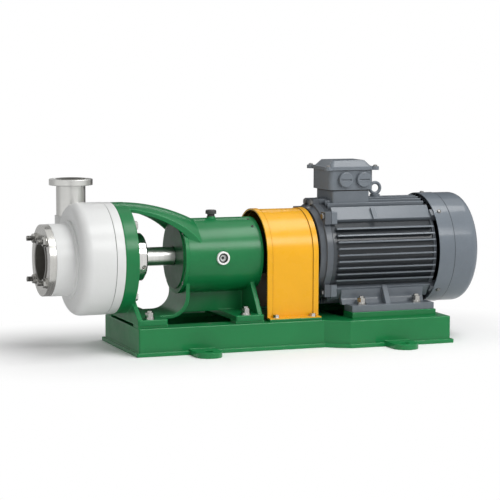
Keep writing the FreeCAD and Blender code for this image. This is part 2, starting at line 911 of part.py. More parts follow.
def vane():
    """One backward-curved vane between the shrouds."""
    x0 = impeller_back_x - back_shroud - vane_width
    inner = [at_angle(r, a, x0) for r, a in ((hub_r - 2, 0), (impeller_r * 0.68, -24),
                                             (impeller_r + 2, -62))]
    outer = [at_angle(r, a, x0) for r, a in
             ((impeller_r + 2, -58), (impeller_r * 0.68 + vane_thickness * 0.8, -20), (hub_r - 2, 12))]
    edges = [Part.Arc(inner[0], inner[1], inner[2]).toShape(), Part.makeLine(inner[2], outer[0]),
             Part.Arc(outer[0], outer[1], outer[2]).toShape(), Part.makeLine(outer[2], inner[0])]
    return Part.Face(Part.Wire(edges)).extrude(Vec(vane_width + 1, 0, 0)).common(rod(x0, x0 + 60,
                                                                                     impeller_r))


def impeller():
    """Closed impeller: two shrouds, a hub, an eye collar and curved vanes."""
    vane_x = impeller_back_x - back_shroud - vane_width
    front_x = vane_x - front_shroud
    back = turned([(impeller_back_x, 0), (impeller_back_x, impeller_r, 1),
                   (impeller_back_x - back_shroud, impeller_r),
                   (impeller_back_x - back_shroud, hub_r, 6), (hub_front_x, hub_r - 3), (hub_front_x, 0)])
    eye = turned([(front_x - eye_length, eye_r), (front_x - eye_length, eye_r + eye_wall),
                  (front_x, eye_r + eye_wall, 4), (front_x, impeller_r, 1), (vane_x, impeller_r),
                  (vane_x, eye_r, 4)])
    body = back.fuse([eye] + polar_array(vane(), vane_count))
    body = body.cut(rod(hub_front_x - 1, impeller_back_x + 1, impeller_seat_r + seat_gap))
    half = impeller_key_width / 2
    keyway = block(hub_front_x - 1, impeller_back_x + 1, -half, half, shaft_z,
                   shaft_z + impeller_seat_r + 3.3)
    return body.cut(keyway).removeSplitter()


def impeller_nut():
    """Domed lined nut that holds the impeller."""
    front = hub_front_x - nut_length
    return turned([(hub_front_x, thread_r + seat_gap), (hub_front_x, nut_r), (front, nut_r, 14), (front, 0),
                   (hub_front_x - thread_length - 1, 0),
                   (hub_front_x - thread_length - 1, thread_r + seat_gap)])


def pump_shaft():
    """Stepped shaft from the impeller thread to the coupling seat."""
    sleeve_end = housing_x - sleeve_end_gap
    shaft = turned([(hub_front_x - thread_length, 0), (hub_front_x - thread_length, thread_r),
                    (hub_front_x, thread_r), (hub_front_x, impeller_seat_r),
                    (impeller_back_x, impeller_seat_r), (impeller_back_x, sleeve_bore_r),
                    (sleeve_end, sleeve_bore_r), (sleeve_end, seal_journal_r),
                    (front_bearing_x, seal_journal_r), (front_bearing_x, journal_r),
                    (front_bearing_x + bearing_width, journal_r),
                    (front_bearing_x + bearing_width, shoulder_r),
                    (rear_bearing_x, shoulder_r), (rear_bearing_x, journal_r),
                    (pump_hub_x - hub_clearance / 2, journal_r),
                    (pump_hub_x - hub_clearance / 2, coupling_seat_r),
                    (pump_shaft_end_x, coupling_seat_r), (pump_shaft_end_x, 0)])
    return shaft.cut(impeller_keyway()).cut(coupling_keyway(pump_hub_x, pump_shaft_end_x, coupling_seat_r))


def impeller_keyway():
    """Slot for the impeller's key in the shaft."""
    half = impeller_key_width / 2
    return block(hub_front_x + 2, impeller_back_x - 2, -half, half, shaft_z + impeller_seat_r - 4,
                 shaft_z + impeller_seat_r + 5)


def coupling_keyway(x0, x1, seat_r):
    """Slot for a coupling key in a shaft end."""
    half = key_width / 2
    return block(x0 + 4, x1 - 4, -half, half, shaft_z + seat_r - key_depth, shaft_z + seat_r + 1)


def pump_shaft_keys():
    """Keys of the impeller and of the coupling hub."""
    half = impeller_key_width / 2
    first = block(hub_front_x + 2, impeller_back_x - 2, -half, half, shaft_z + impeller_seat_r - 4,
                  shaft_z + impeller_seat_r + 3)
    return group([first, coupling_key(pump_hub_x, pump_shaft_end_x, coupling_seat_r)])


def coupling_key(x0, x1, seat_r):
    """Flat key in a shaft end."""
    half = key_width / 2
    bottom = shaft_z + seat_r - key_depth
    return block(x0 + 4, x1 - 4, -half, half, bottom, bottom + key_height)


def shaft_sleeve():
    """Polished sleeve that runs through the lantern."""
    return ring(impeller_back_x, housing_x - sleeve_end_gap, sleeve_bore_r, sleeve_r)


# Mechanical seal

def seal_seat():
    """Stationary ceramic ring in the cover."""
    return ring(ring_x - seal_seat_depth, ring_x, seal_seat_inner_r, seal_bore_r - seat_gap)


def seal_ring():
    """Carbon ring that turns against the seat."""
    return ring(ring_x + face_gap, ring_x + seal_ring_length, sleeve_r, seal_ring_r)


def seal_bellows():
    """Fluoroplastic bellows behind the rotating ring."""
    x0 = ring_x + seal_ring_length
    pitch = bellows_length / bellows_waves
    points = [(x0, sleeve_r)]
    for index in range(bellows_waves):
        points.append((x0 + index * pitch, bellows_r - bellows_wave))
        points.append((x0 + (index + 0.5) * pitch, bellows_r, 0.8))
    points.append((x0 + bellows_length, bellows_r - bellows_wave))
    points.append((x0 + bellows_length, sleeve_r))
    return turned(points)


def seal_collar():
    """Clamp collar that drives the seal from the sleeve."""
    x0 = ring_x + seal_ring_length + bellows_length
    collar = ring(x0, x0 + collar_length, sleeve_r, collar_r)
    for angle in (90, 210, 330):
        point = at_angle((sleeve_r + collar_r) / 2, angle, x0 + collar_length / 2)
        collar = collar.cut(Part.makeCylinder(m6_r, collar_r, point, outward_at(angle)))
    return collar


def seal_gland():
    """Stainless gland with a flushing port and a screw in its rim."""
    wall_x = gland_end_x - gland_wall
    body = turned([(ring_x, gland_bore_r), (ring_x, gland_flange_r, 1),
                   (ring_x + gland_flange_thickness, gland_flange_r, 1),
                   (ring_x + gland_flange_thickness, gland_r, 3), (gland_end_x - gland_chamfer, gland_r),
                   (gland_end_x, gland_r - gland_chamfer), (gland_end_x, gland_hole_r),
                   (wall_x, gland_hole_r),
                   (wall_x, gland_bore_r)])
    port_x = (ring_back_x + gland_end_x) / 2 + 12
    port = placed(Part.makeCylinder(gland_port_r, 30), at_angle(gland_r - 12, gland_port_angle, port_x),
                  outward_at(gland_port_angle))
    body = body.cut(port)
    for point in diagonal_points(gland_bolt_circle_r, ring_x):
        body = body.cut(rod(ring_x - 1, ring_x + 20, m8_r + slip_gap, point.y, point.z))
    return body


def gland_bolts():
    """Four bolts that hold the gland to the cover."""
    bolt = hex_bolt(m8_r, gland_flange_thickness + gland_bolt_grip, m8_flats, m8_head)
    return group([placed(bolt, Vec(ring_x + gland_flange_thickness, p.y, p.z), Vec(1, 0, 0))
                  for p in diagonal_points(gland_bolt_circle_r, ring_x)])


# Bearing frame

def foot_bolt_x(foot_x):
    """Place of a pump foot's bolts along the shaft."""
    return foot_x + (front_foot_bolt_inset if foot_x == front_foot_x else rear_foot_bolt_inset)


def arm_arc(start_x, start_r, end_x, end_r):
    """Arc that leaves level at its start and falls to its end."""
    reach = end_x - start_x
    drop = start_r - end_r
    radius = (reach ** 2 + drop ** 2) / (2 * drop)
    middle_x = start_x + reach / 2
    middle_r = start_r - radius + math.sqrt(radius ** 2 - (reach / 2) ** 2)
    return Part.Arc(axial(start_x, start_r), axial(middle_x, middle_r), axial(end_x, end_r)).toShape()


def lantern_arm():
    """Arched arm from the ring over the housing, widening to two points on its sides."""
    end_x = housing_x + arm_overlap
    inner_r = ring_r - arm_root_thickness
    sunk_r = housing_r - 2
    crown = arm_arc(arm_root_x, ring_r - 0.2, end_x, housing_r)
    under = arm_arc(arm_root_x, inner_r, housing_x, cover_flange_r + 0.7)
    corners = [under.Vertexes[1].Point, axial(housing_x, sunk_r), axial(end_x, sunk_r),
               crown.Vertexes[1].Point]
    edges = [crown, under, Part.makeLine(axial(arm_root_x, ring_r - 0.2), axial(arm_root_x, inner_r))]
    edges += [Part.makeLine(a, b) for a, b in zip(corners, corners[1:])]
    face = Part.Face(Part.Wire(Part.__sortEdges__(edges)))
    shell = face.revolve(Vec(0, 0, shaft_z), Vec(1, 0, 0), 360)
    wedge = slab([(arm_root_x - 1, -arm_half_width_front), (end_x + 1, -arm_half_width_rear),
                  (end_x + 1, arm_half_width_rear), (arm_root_x - 1, arm_half_width_front)],
                 shaft_z + 10, shaft_z + ring_r + 5)
    return shell.common(wedge)


def cradle():
    """J-shaped plate: down from the housing, round the bend and forward to the ring."""
    bottom = foot_top_z - frame_plate
    inner_x = housing_x + 0.5
    front_x = ring_back_x - 1
    points = [(front_x, bottom), (inner_x + frame_plate, bottom, cradle_bend_r + frame_plate),
              (inner_x + frame_plate, shaft_z - housing_r / 2), (inner_x, shaft_z - housing_r / 2),
              (inner_x, foot_top_z, cradle_bend_r),
              (front_x + frame_plate, foot_top_z, cradle_front_bend_r),
              (front_x + frame_plate, shaft_z - ring_bore_r), (front_x, shaft_z - ring_bore_r)]
    return extruded(points, side_view(-cradle_half_width), Vec(0, 2 * cradle_half_width, 0))


def front_leg():
    """Cross plate under the ring that widens down to the foot."""
    low = pump_foot_z - shaft_z + 1
    top = foot_top_z - shaft_z
    points = [(-foot_half_width + 4, low), (-foot_half_width + 4, top), (-76, -94), (-60, -80),
              (60, -80), (76, -94), (foot_half_width - 4, top), (foot_half_width - 4, low)]
    plate = cross_prism(points, front_foot_x, front_foot_x + leg_plate)
    return plate.cut(rod(front_foot_x - 1, front_foot_x + leg_plate + 1, ring_bore_r))


def rear_leg():
    """Cross plate under the rear of the housing, with sloping sides."""
    x = rear_foot_x + rear_foot_length - leg_plate
    low = pump_foot_z - shaft_z + 1
    points = [(-115, low), (-108, low + 14), (-55, -54), (55, -54), (108, low + 14), (115, low)]
    return cross_prism(points, x, x + leg_plate)


def foot(x, length):
    """Foot plate across the frame."""
    return slab(rectangle(x, x + length, foot_half_width, foot_corner_r), pump_foot_z, foot_top_z)


def housing_body():
    """Cylinder of the bearing housing with the bosses for the breather and the sight glass."""
    body = turned([(housing_x, 0), (housing_x, housing_r, 1), (housing_end_x, housing_r, 1),
                   (housing_end_x, 0)])
    boss_top = shaft_z + housing_r + breather_boss_rise
    body = body.fuse(post(breather_x, 0, boss_top - 20, boss_top, breather_boss_r))
    return body


def housing_cavity():
    """Bore for the front cover, both bearing seats and the oil chamber between them."""
    seat_r = bearing_r + seat_gap
    front_seat_end = front_bearing_x + bearing_width
    chamber_x0 = front_seat_end + oil_chamber_wall
    chamber_x1 = rear_bearing_x - oil_chamber_wall
    stop_r = bearing_stop_r
    return turned([(housing_x - 1, 0), (housing_x - 1, cover_bore_r), (front_bearing_x, cover_bore_r),
                   (front_bearing_x, seat_r), (front_seat_end, seat_r), (front_seat_end, stop_r),
                   (chamber_x0, stop_r), (chamber_x0, oil_chamber_r, 4), (chamber_x1, oil_chamber_r, 4),
                   (chamber_x1, stop_r), (rear_bearing_x, stop_r), (rear_bearing_x, seat_r),
                   (housing_end_x + 1, seat_r), (housing_end_x + 1, 0)])


def bearing_frame():
    """One casting: ring, arched arm, cradle, legs, feet and bearing housing."""
    ring_body = turned([(ring_x, ring_bore_r), (ring_x, ring_r, ring_edge_r),
                        (ring_back_x, ring_r, ring_edge_r),
                        (ring_back_x, ring_bore_r)])
    web = block(housing_x + frame_plate / 2, rear_foot_x + rear_foot_length - 1,
                -frame_plate / 2 - 1, frame_plate / 2 + 1, foot_top_z - 2, shaft_z - oil_chamber_r)
    body = fused([housing_body(), ring_body, lantern_arm(), cradle(), front_leg(), rear_leg(), web,
                  foot(front_foot_x, front_foot_length), foot(rear_foot_x, rear_foot_length)])
    body = body.cut(housing_cavity())
    for x in (front_foot_x, rear_foot_x):
        for y in (-pump_foot_bolt_y, pump_foot_bolt_y):
            body = body.cut(post(foot_bolt_x(x), y, pump_foot_z - 1, foot_top_z + 1, pump_foot_hole_r))
    for point in diagonal_points(casing_bolt_circle_r, ring_x):
        body = body.cut(rod(ring_x - 1, ring_back_x + 1, m12_r + slip_gap, point.y, point.z))
    body = body.cut(post(breather_x, 0, shaft_z, shaft_z + housing_r + 10, breather_stem_r))
    sight_bore = Part.makeCylinder(sight_thread_r, 60, Vec(sight_x, -housing_r - 10, shaft_z), Vec(0, 1, 0))
    sight_face = Part.makeCylinder(sight_r + 1, 10, Vec(sight_x, sight_face_y - 10, shaft_z), Vec(0, 1, 0))
    body = body.cut(sight_bore).cut(sight_face)
    for point in diagonal_points(front_cover_screw_circle_r, housing_x):
        body = body.cut(rod(housing_x - 1, housing_x + 11, m6_r, point.y, point.z))
    for point in diagonal_points(rear_cover_screw_circle_r, housing_end_x):
        body = body.cut(rod(housing_end_x - 11, housing_end_x + 1, m6_r, point.y, point.z))
    return body


def front_bearing_cover():
    """Flat-faced cover at the front of the housing; its nose holds the bearing, its web the lip seal."""
    flange_x = housing_x - cover_flange_thickness
    web_end = cover_rim_x + cover_web
    nose_x = housing_x + cover_depth_inside
    spigot_r = cover_bore_r - slip_gap
    hole_r = seal_journal_r + shaft_hole_gap
    body = turned([(cover_rim_x, hole_r), (cover_rim_x, cover_rim_r, 0.8), (flange_x, cover_rim_r),
                   (flange_x, cover_flange_r, 1), (housing_x, cover_flange_r), (housing_x, spigot_r),
                   (housing_x + cover_spigot, spigot_r), (housing_x + cover_spigot, cover_nose_r),
                   (nose_x, cover_nose_r), (nose_x, bearing_stop_r), (web_end, bearing_stop_r),
                   (web_end, lip_seal_r), (web_end - lip_seal_width, lip_seal_r),
                   (web_end - lip_seal_width, hole_r)])
    for point in diagonal_points(front_cover_screw_circle_r, flange_x):
        body = body.cut(rod(flange_x - 1, housing_x + 1, m6_r + slip_gap, point.y, point.z))
        body = body.cut(rod(flange_x - 1, flange_x + m6_head_height, m6_head_r + 0.2, point.y, point.z))
    return body


def rear_bearing_cover():
    """Flat cover at the coupling end; its spigot holds the bearing."""
    spigot_r = bearing_r - slip_gap
    x0 = rear_bearing_x + bearing_width
    x1 = seal_cover_x
    body = turned([(x0, bearing_stop_r), (x0, spigot_r), (housing_end_x, spigot_r),
                   (housing_end_x, housing_r),
                   (x1, housing_r, 1.5), (x1, lip_seal_r), (x1 - lip_seal_width, lip_seal_r),
                   (x1 - lip_seal_width, bearing_stop_r)])
    for point in diagonal_points(rear_cover_screw_circle_r, x1):
        body = body.cut(rod(x0, x1 + 1, m6_r + slip_gap, point.y, point.z))
    return body


def lip_seals():
    """Rubber lip seals in both covers."""
    front_x = cover_rim_x + cover_web - lip_seal_width
    rear_x = seal_cover_x - lip_seal_width
    seals = []
    for x, shaft_r in ((front_x, seal_journal_r), (rear_x, journal_r)):
        lip = shaft_r + running_gap
        seals.append(turned([(x, lip + 1.5), (x, lip_seal_r - seat_gap),
                             (x + lip_seal_width, lip_seal_r - seat_gap),
                             (x + lip_seal_width, lip + 3), (x + lip_seal_width / 2, lip + 3),
                             (x + lip_seal_width / 2 - 1, lip), (x + 1.5, lip)]))
    return group(seals)


# Ball bearings

def groove(x, pitch_r, radius):
    """Ring of circular section that cuts the ball track."""
    return Part.makeTorus(pitch_r, radius, Vec(x, 0, shaft_z), Vec(1, 0, 0))


def bearing_rings(places, width, bore_r, inner_r, outer_bore_r, outer_r, pitch_r, radius):
    """Inner and outer rings of the bearings that start at the given places."""
    inner = []
    outer = []
    for x in places:
        track = groove(x + width / 2, pitch_r, radius + running_gap)
        inner.append(ring(x, x + width, bore_r + seat_gap, inner_r).cut(track))
        outer.append(ring(x, x + width, outer_bore_r, outer_r).cut(track))
    return inner, outer


def ball_set(places, width, pitch_r, radius, cage_inner, cage_outer):
    """Balls of the bearings, and ring cages with a pocket round each ball."""
    solids = []
    half = radius + cage_thickness
    for x in places:
        middle_x = x + width / 2
        cage = ring(middle_x - half, middle_x + half, cage_inner, cage_outer)
        for index in range(ball_count):
            point = at_angle(pitch_r, 360.0 * index / ball_count, middle_x)
            outward = outward_at(360.0 * index / ball_count)
            cage = cage.cut(Part.makeCylinder(radius + face_gap, radius * 4, point - outward * radius * 2,
                                              outward))
            solids.append(Part.makeSphere(radius, point))
        solids.append(cage)
    return solids


# Oil fittings

def breather():
    """Mushroom-capped breather screwed into the housing's boss."""
    base = shaft_z + housing_r + breather_boss_rise
    stem = post(breather_x, 0, base - 12, base, breather_stem_r - seat_gap)
    neck = post(breather_x, 0, base, base + breather_gap, breather_stem_r + 2.5)
    cap = post(breather_x, 0, base + breather_gap - 2, base + breather_gap - 2 + breather_cap_height,
               breather_cap_r)
    raised = [e for e in cap.Edges if min(v.Z for v in e.Vertexes) > base + breather_gap]
    top = [e for e in raised if e.Length > breather_cap_r * 4]
    return fused([stem, neck, cap.makeFillet(3, top)])


def turned_about_sight(points):
    """Body turned about the sight glass's own axis, from (outward, radius) corners."""
    place = lambda out, r: Vec(sight_x + r, sight_face_y - out, shaft_z)
    face = Part.Face(outline(points, place))
    return face.revolve(Vec(sight_x, 0, shaft_z), Vec(0, 1, 0), 360)


def oil_sight_ring():
    """Screwed metal ring of the oil sight glass."""
    thread_r = sight_thread_r - seat_gap
    return turned_about_sight([(-9, sight_glass_r - 2), (-9, thread_r), (0, thread_r), (0, sight_r),
                               (sight_rise, sight_r, 1.2), (sight_rise, sight_glass_r + 0.5, 0.8),
                               (1, sight_glass_r + 0.5), (1, sight_glass_r - 2)])


def oil_sight_window():
    """Clear disc of the oil sight glass."""
    return turned_about_sight([(1, 0), (1, sight_glass_r + 0.5 - seat_gap),
                               (1 + sight_glass_thickness, sight_glass_r + 0.5 - seat_gap),
                               (1 + sight_glass_thickness, 0)])


# Coupling and guard

def coupling_hub(x0, x1, jaw_x0, jaw_x1, start):
    """Jaw coupling hub with its keyway."""
    body = turned([(x0, 0), (x0, coupling_r, 1.5), (x1, coupling_r, 1.5), (x1, 0)])
    jaws = [sector(jaw_x0, jaw_x1, jaw_inner_r, coupling_r, start + 360.0 * i / jaw_count, jaw_angle)
            for i in range(jaw_count)]
    body = body.fuse(jaws)
    body = body.cut(rod(min(x0, jaw_x0) - 1, max(x1, jaw_x1) + 1, coupling_seat_r + seat_gap))
    half = key_width / 2
    top = shaft_z + coupling_seat_r - key_depth + key_height + 0.2
    return body.cut(block(x0 - 1, x1 + 1, -half, half, shaft_z, top)).removeSplitter()


def pump_coupling_hub():
    """Hub on the pump shaft."""
    jaw_end = pump_shaft_end_x + spider_width - jaw_end_gap
    return coupling_hub(pump_hub_x, pump_shaft_end_x, pump_shaft_end_x - 1, jaw_end, 90)


def motor_coupling_hub():
    """Hub on the motor shaft."""
    end = motor_shaft_end_x + motor_hub_length
    return coupling_hub(motor_shaft_end_x, end, pump_shaft_end_x + jaw_end_gap, motor_shaft_end_x + 1, 270)


def coupling_spider():
    """Elastic star between the jaws of both hubs."""
    x0 = pump_shaft_end_x + 1
    x1 = motor_shaft_end_x - 1
    body = ring(x0, x1, spider_bore_r, spider_ring_r)
    gap_angle = 180.0 / jaw_count - jaw_angle
    trim = 2 * math.degrees(spider_gap / jaw_inner_r)
    arms = []
    for index in range(2 * jaw_count):
        middle = 90 + 180.0 / jaw_count * (index + 0.5)
        arms.append(sector(x0, x1, spider_bore_r + 2, coupling_r - 1.5, middle, gap_angle - trim))
    return body.fuse(arms).removeSplitter()


def arch(radius, x0, x1, bottom):
    """Solid arch about the shaft with straight sides down to a level."""
    return rod(x0, x1, radius).fuse(block(x0, x1, -radius, radius, bottom, shaft_z))


def coupling_guard():
    """Sheet arch over the coupling with raised end bands and outward feet."""
    body = arch(guard_r, guard_x0, guard_x1, guard_foot_z)
    band_r = guard_r + guard_band_rise
    for x in (guard_x0, guard_x1 - guard_band_width):
        body = body.fuse(arch(band_r, x, x + guard_band_width, guard_foot_z))
    reach = guard_r + guard_foot_width
    feet = block(guard_x0, guard_x1, -reach, reach, guard_foot_z, guard_foot_z + guard_foot_thickness)
    body = body.fuse(feet).removeSplitter()
    body = body.cut(arch(guard_r - guard_sheet, guard_x0 - 1, guard_x1 + 1, guard_foot_z - 1))
    for x in guard_bolt_places():
        for y in (-guard_bolt_y, guard_bolt_y):
            body = body.cut(post(x, y, guard_foot_z - 1, guard_foot_z + guard_foot_thickness + 1,
                                 m8_r + slip_gap))
    return body


def guard_bolts():
    """Bolts through the guard's feet into the rails."""
    shank = guard_foot_thickness + guard_rail_thickness + base_wall + bolt_end
    bolt = hex_bolt(m8_r, shank, m8_flats, m8_head, m8_washer_r, m8_washer_thickness)
    top = guard_foot_z + guard_foot_thickness
    return group([placed(bolt, Vec(x, y, top)) for x in guard_bolt_places()
                  for y in (-guard_bolt_y, guard_bolt_y)])


# Motor

def fins(x0, x1):
    """Level fins on both sides and upright fins on the top and underneath."""
    slabs = []
    for index in range(side_fin_count):
        rise = (index - (side_fin_count - 1) / 2) * side_fin_pitch
        slabs.append(block(x0, x1, -fin_r - 1, fin_r + 1, shaft_z + rise - fin_thickness / 2,
                           shaft_z + rise + fin_thickness / 2))
    for index in range(top_fin_count):
        y = (index - (top_fin_count - 1) / 2) * top_fin_pitch
        slabs.append(block(x0, x1, y - fin_thickness / 2, y + fin_thickness / 2, shaft_z - fin_r - 1,
                           shaft_z + fin_r + 1))
    limit = ring(x0, x1, frame_core_r - 3, fin_r)
    return [slab_.common(limit) for slab_ in slabs]


def corner_land(side, up):
    """Plain land between the side fins and the top or bottom fins."""
    points = [(side * (land_top_y - 8), up * (land_top_rise - 16)), (side * land_top_y, up * land_top_rise),
              (side * land_side_y, up * land_side_rise),
              (side * (land_side_y - 10), up * (land_side_rise - 14))]
    return cross_prism(points, fin_x - 1, frame_end_x)


def bolt_ears(x0, x1, top_x1):
    """Ears for the shield bolts: one at each corner, and two on the top that may run further back."""
    ears = []
    for side in (-1, 1):
        for up in (-1, 1):
            corners = [(side * ear_inner, up * ear_inner), (side * ear_outer, up * ear_inner),
                       (side * ear_outer, up * ear_outer), (side * ear_inner, up * ear_outer)]
            ears.append(cross_prism(corners, x0, x1))
        inner = side * (top_ear_y - top_ear_half_width)
        outer = side * (top_ear_y + top_ear_half_width)
        low = shield_front_r - 2
        high = top_ear_rise + top_ear_half_width
        ears.append(cross_prism([(inner, low), (outer, low), (outer, high), (inner, high)], x0, top_x1))
    return ears


def shield_bolt_points(x):
    """Places of the shield's bolts: four on the diagonals and two on the top."""
    top = [Vec(x, side * top_ear_y, shaft_z + top_ear_rise) for side in (-1, 1)]
    return diagonal_points(shield_bolt_circle_r, x) + top


def motor_leg(side):
    """Hollow-curved leg of the motor frame with its foot plate and rib."""
    foot_rise = motor_foot_z + motor_foot_thickness - shaft_z
    outer = [(leg_top_y, -leg_top_drop), (leg_waist_y, -leg_waist_drop, leg_bend_r),
             (leg_foot_y, foot_rise - 1)]
    inner = [(leg_foot_y - leg_thickness, foot_rise - 1), (leg_waist_y - leg_thickness, -leg_waist_drop),
             (leg_top_y - 2 * leg_thickness, -leg_top_drop)]
    rib = [(leg_waist_y - 4, -foot_rib_drop), (leg_top_y + 3, -foot_rib_drop), (foot_rib_y, foot_rise - 1),
           (leg_waist_y - 4, foot_rise - 1)]
    low = min(side * motor_foot_inner, side * motor_foot_half_width)
    high = max(side * motor_foot_inner, side * motor_foot_half_width)
    plate = block(motor_foot_x, motor_foot_x + motor_foot_length, low, high, motor_foot_z,
                  motor_foot_z + motor_foot_thickness)
    return [cross_prism(on_side(outer + inner, side), leg_x, leg_x + motor_foot_length), plate,
            cross_prism(on_side(rib, side), foot_rib_x - rib_thickness / 2, foot_rib_x + rib_thickness / 2)]


def on_side(points, side):
    """Section outline drawn for +Y, on either side of the shaft."""
    return [(side * point[0],) + point[1:] for point in points]


def land_rib(side):
    """Wedge rib on the upper land."""
    points = [(land_top_y + 4, land_top_rise - 3), (land_top_y + 9, land_top_rise - 2),
              (land_rib_y, land_side_rise), (land_side_y - 8, land_side_rise)]
    return cross_prism(on_side(points, side), land_rib_x - rib_thickness / 2,
                       land_rib_x + rib_thickness / 2)


def motor_frame():
    """Finned frame with lands, legs, feet, terminal pedestal and bolt ears."""
    body = turned([(frame_x, frame_bore_r), (frame_x, shield_r, 1), (fin_x, shield_r, 1),
                   (fin_x, frame_core_r),
                   (frame_end_x, frame_core_r), (frame_end_x, frame_bore_r)])
    parts = fins(fin_x - 1, frame_end_x)
    for side in (-1, 1):
        parts += [corner_land(side, 1), corner_land(side, -1), land_rib(side)] + motor_leg(side)
    parts += bolt_ears(frame_x + 1, frame_x + 1 + ear_length, pedestal_x + 1)
    pedestal_end = pedestal_x + pedestal_length
    parts.append(slab(rectangle(pedestal_x, pedestal_end, pedestal_half_width, 6),
                      shaft_z + frame_core_r - 30,
                      pedestal_top_z))
    parts.append(slab(rectangle(pedestal_x - pedestal_ledge, pedestal_end + pedestal_ledge,
                                pedestal_half_width + pedestal_ledge, 6), shaft_z + frame_core_r - 30,
                      shaft_z + pedestal_ledge_rise))
    parts.append(post(eye_x, 0, shaft_z + frame_core_r - 3, shaft_z + eye_boss_rise, eye_boss_r))
    body = body.fuse(parts)
    body = body.cut(rod(frame_x - 1, frame_end_x + 1, frame_bore_r))
    body = body.cut(post(pedestal_x + pedestal_length / 2, 0, shaft_z + frame_bore_r - 9,
                         pedestal_top_z + 1, cable_hole_r))
    seat_z = shaft_z + eye_boss_rise
    body = body.cut(post(eye_x, 0, seat_z - eye_thread_length, seat_z + 1, eye_thread_r + slip_gap))
    body = body.cut(post(eye_x, 0, seat_z, shaft_z + fin_r + 1, eye_boss_r))
    for x in (motor_bolt_x, motor_bolt_x + motor_bolt_spacing):
        for y in (-motor_bolt_gauge / 2, motor_bolt_gauge / 2):
            body = body.cut(post(x, y, motor_foot_z - 1, motor_foot_z + motor_foot_thickness + 1,
                                 m12_r + slip_gap))
    for point in shield_bolt_points(frame_x):
        body = body.cut(rod(frame_x - 1, frame_x + ear_length + 2, m8_r, point.y, point.z))
    return body.removeSplitter()


def drive_shield():
    """Drive-end shield with the bearing pocket, a stepped rim and bolt ears."""
    web_x = shield_x + 6
    pocket_end = drive_bearing_x + motor_bearing_width + 3
    pocket_r = motor_bearing_r + seat_gap
    stop_r = motor_bearing_r - bearing_stop
    rim_x = shield_x + shield_front_length
    body = turned([(shield_x, shield_front_r - 8, 3), (shield_x, shield_front_r, 2),
                   (rim_x, shield_shoulder_r),
                   (rim_x, shield_r, 1), (frame_x, shield_r),
                   (frame_x, frame_bore_r - slip_gap), (frame_x + spigot_length, frame_bore_r - slip_gap),
                   (frame_x + spigot_length, frame_bore_r - 7),
                   (web_x + shield_web + 2, frame_bore_r - 7, 6),
                   (web_x + shield_web + 2, motor_bearing_r + 10, 4), (pocket_end, motor_bearing_r + 8),
                   (pocket_end, pocket_r), (drive_bearing_x, pocket_r), (drive_bearing_x, stop_r),
                   (drive_bearing_x - 4, stop_r), (drive_bearing_x - 4, motor_journal_r + 0.6),
                   (shield_x + 2, motor_journal_r + 0.6),
                   (shield_x + 2, motor_bearing_r + 8, 2), (web_x, motor_bearing_r + 14, 3),
                   (web_x, shield_front_r - 14, 6)])
    ears_x = frame_x - shield_ear_length
    body = body.fuse(bolt_ears(ears_x, frame_x, frame_x))
    body = body.cut(rod(rim_x, frame_x, frame_bore_r - 7))
    for point in shield_bolt_points(frame_x):
        body = body.cut(rod(shield_x - 1, frame_x + 1, m8_r + slip_gap, point.y, point.z))
        body = body.cut(rod(shield_x - 1, ears_x, m8_washer_r + 1, point.y, point.z))
    return body.removeSplitter()


def rear_shield():
    """Shield at the fan end with its bearing pocket and the lugs that carry the fan cover."""
    x1 = frame_end_x + rear_shield_thickness
    pocket_r = motor_bearing_r + seat_gap
    stop_r = motor_bearing_r - bearing_stop
    body = turned([(frame_end_x - spigot_length, frame_bore_r - 7),
                   (frame_end_x - spigot_length, frame_bore_r - slip_gap),
                   (frame_end_x, frame_bore_r - slip_gap), (frame_end_x, frame_core_r + 3),
                   (x1, frame_core_r + 3, 2),
                   (x1, fan_seat_r + 1), (x1 - 4, fan_seat_r + 1), (x1 - 4, stop_r), (frame_end_x, stop_r),
                   (frame_end_x, pocket_r), (fan_bearing_x - 3, pocket_r),
                   (fan_bearing_x - 3, motor_bearing_r + 8),
                   (frame_end_x - 1, motor_bearing_r + 10), (frame_end_x - 1, frame_bore_r - 7)])
    lug_top = fan_cover_r - fan_cover_sheet - slip_gap
    for index in range(4):
        lug = block(frame_end_x, x1 + lug_reach, -lug_width / 2, lug_width / 2, shaft_z + frame_core_r - 3,
                    shaft_z + lug_top)
        limit = rod(frame_end_x, x1 + lug_reach, lug_top)
        body = body.fuse(turned_about_shaft(lug.common(limit), 45 + 90 * index))
    for angle in (45, 135, 225, 315):
        outward = outward_at(angle)
        start = at_angle(frame_core_r + 2, angle, fan_screw_x)
        body = body.cut(Part.makeCylinder(m6_r - 0.5, 30, start, outward))
    return body.removeSplitter()


def shield_bolts():
    """Bolts of the drive-end shield."""
    bolt = hex_bolt(m8_r, shield_ear_length + ear_length, m8_flats, m8_head)
    return group([placed(bolt, Vec(frame_x - shield_ear_length, p.y, p.z), Vec(-1, 0, 0))
                  for p in shield_bolt_points(frame_x)])


def stator_core():
    """Laminated stator core pressed in the frame."""
    return ring(stator_x, stator_x + stator_length, stator_bore_r, frame_bore_r - seat_gap)


def stator_windings():
    """End turns at both ends of the core."""
    coils = []
    stator_end_x = stator_x + stator_length
    for x0, x1 in ((stator_x - winding_length, stator_x), (stator_end_x, stator_end_x + winding_length)):
        coils.append(turned([(x0, stator_bore_r + 5, 5), (x0, winding_outer_r, 8), (x1, winding_outer_r, 3),
                             (x1, stator_bore_r + 5, 3)]))
    return group(coils)


def rotor_core():
    """Cage rotor on the motor shaft."""
    return ring(stator_x, stator_x + stator_length, motor_body_shaft_r, stator_bore_r - air_gap)


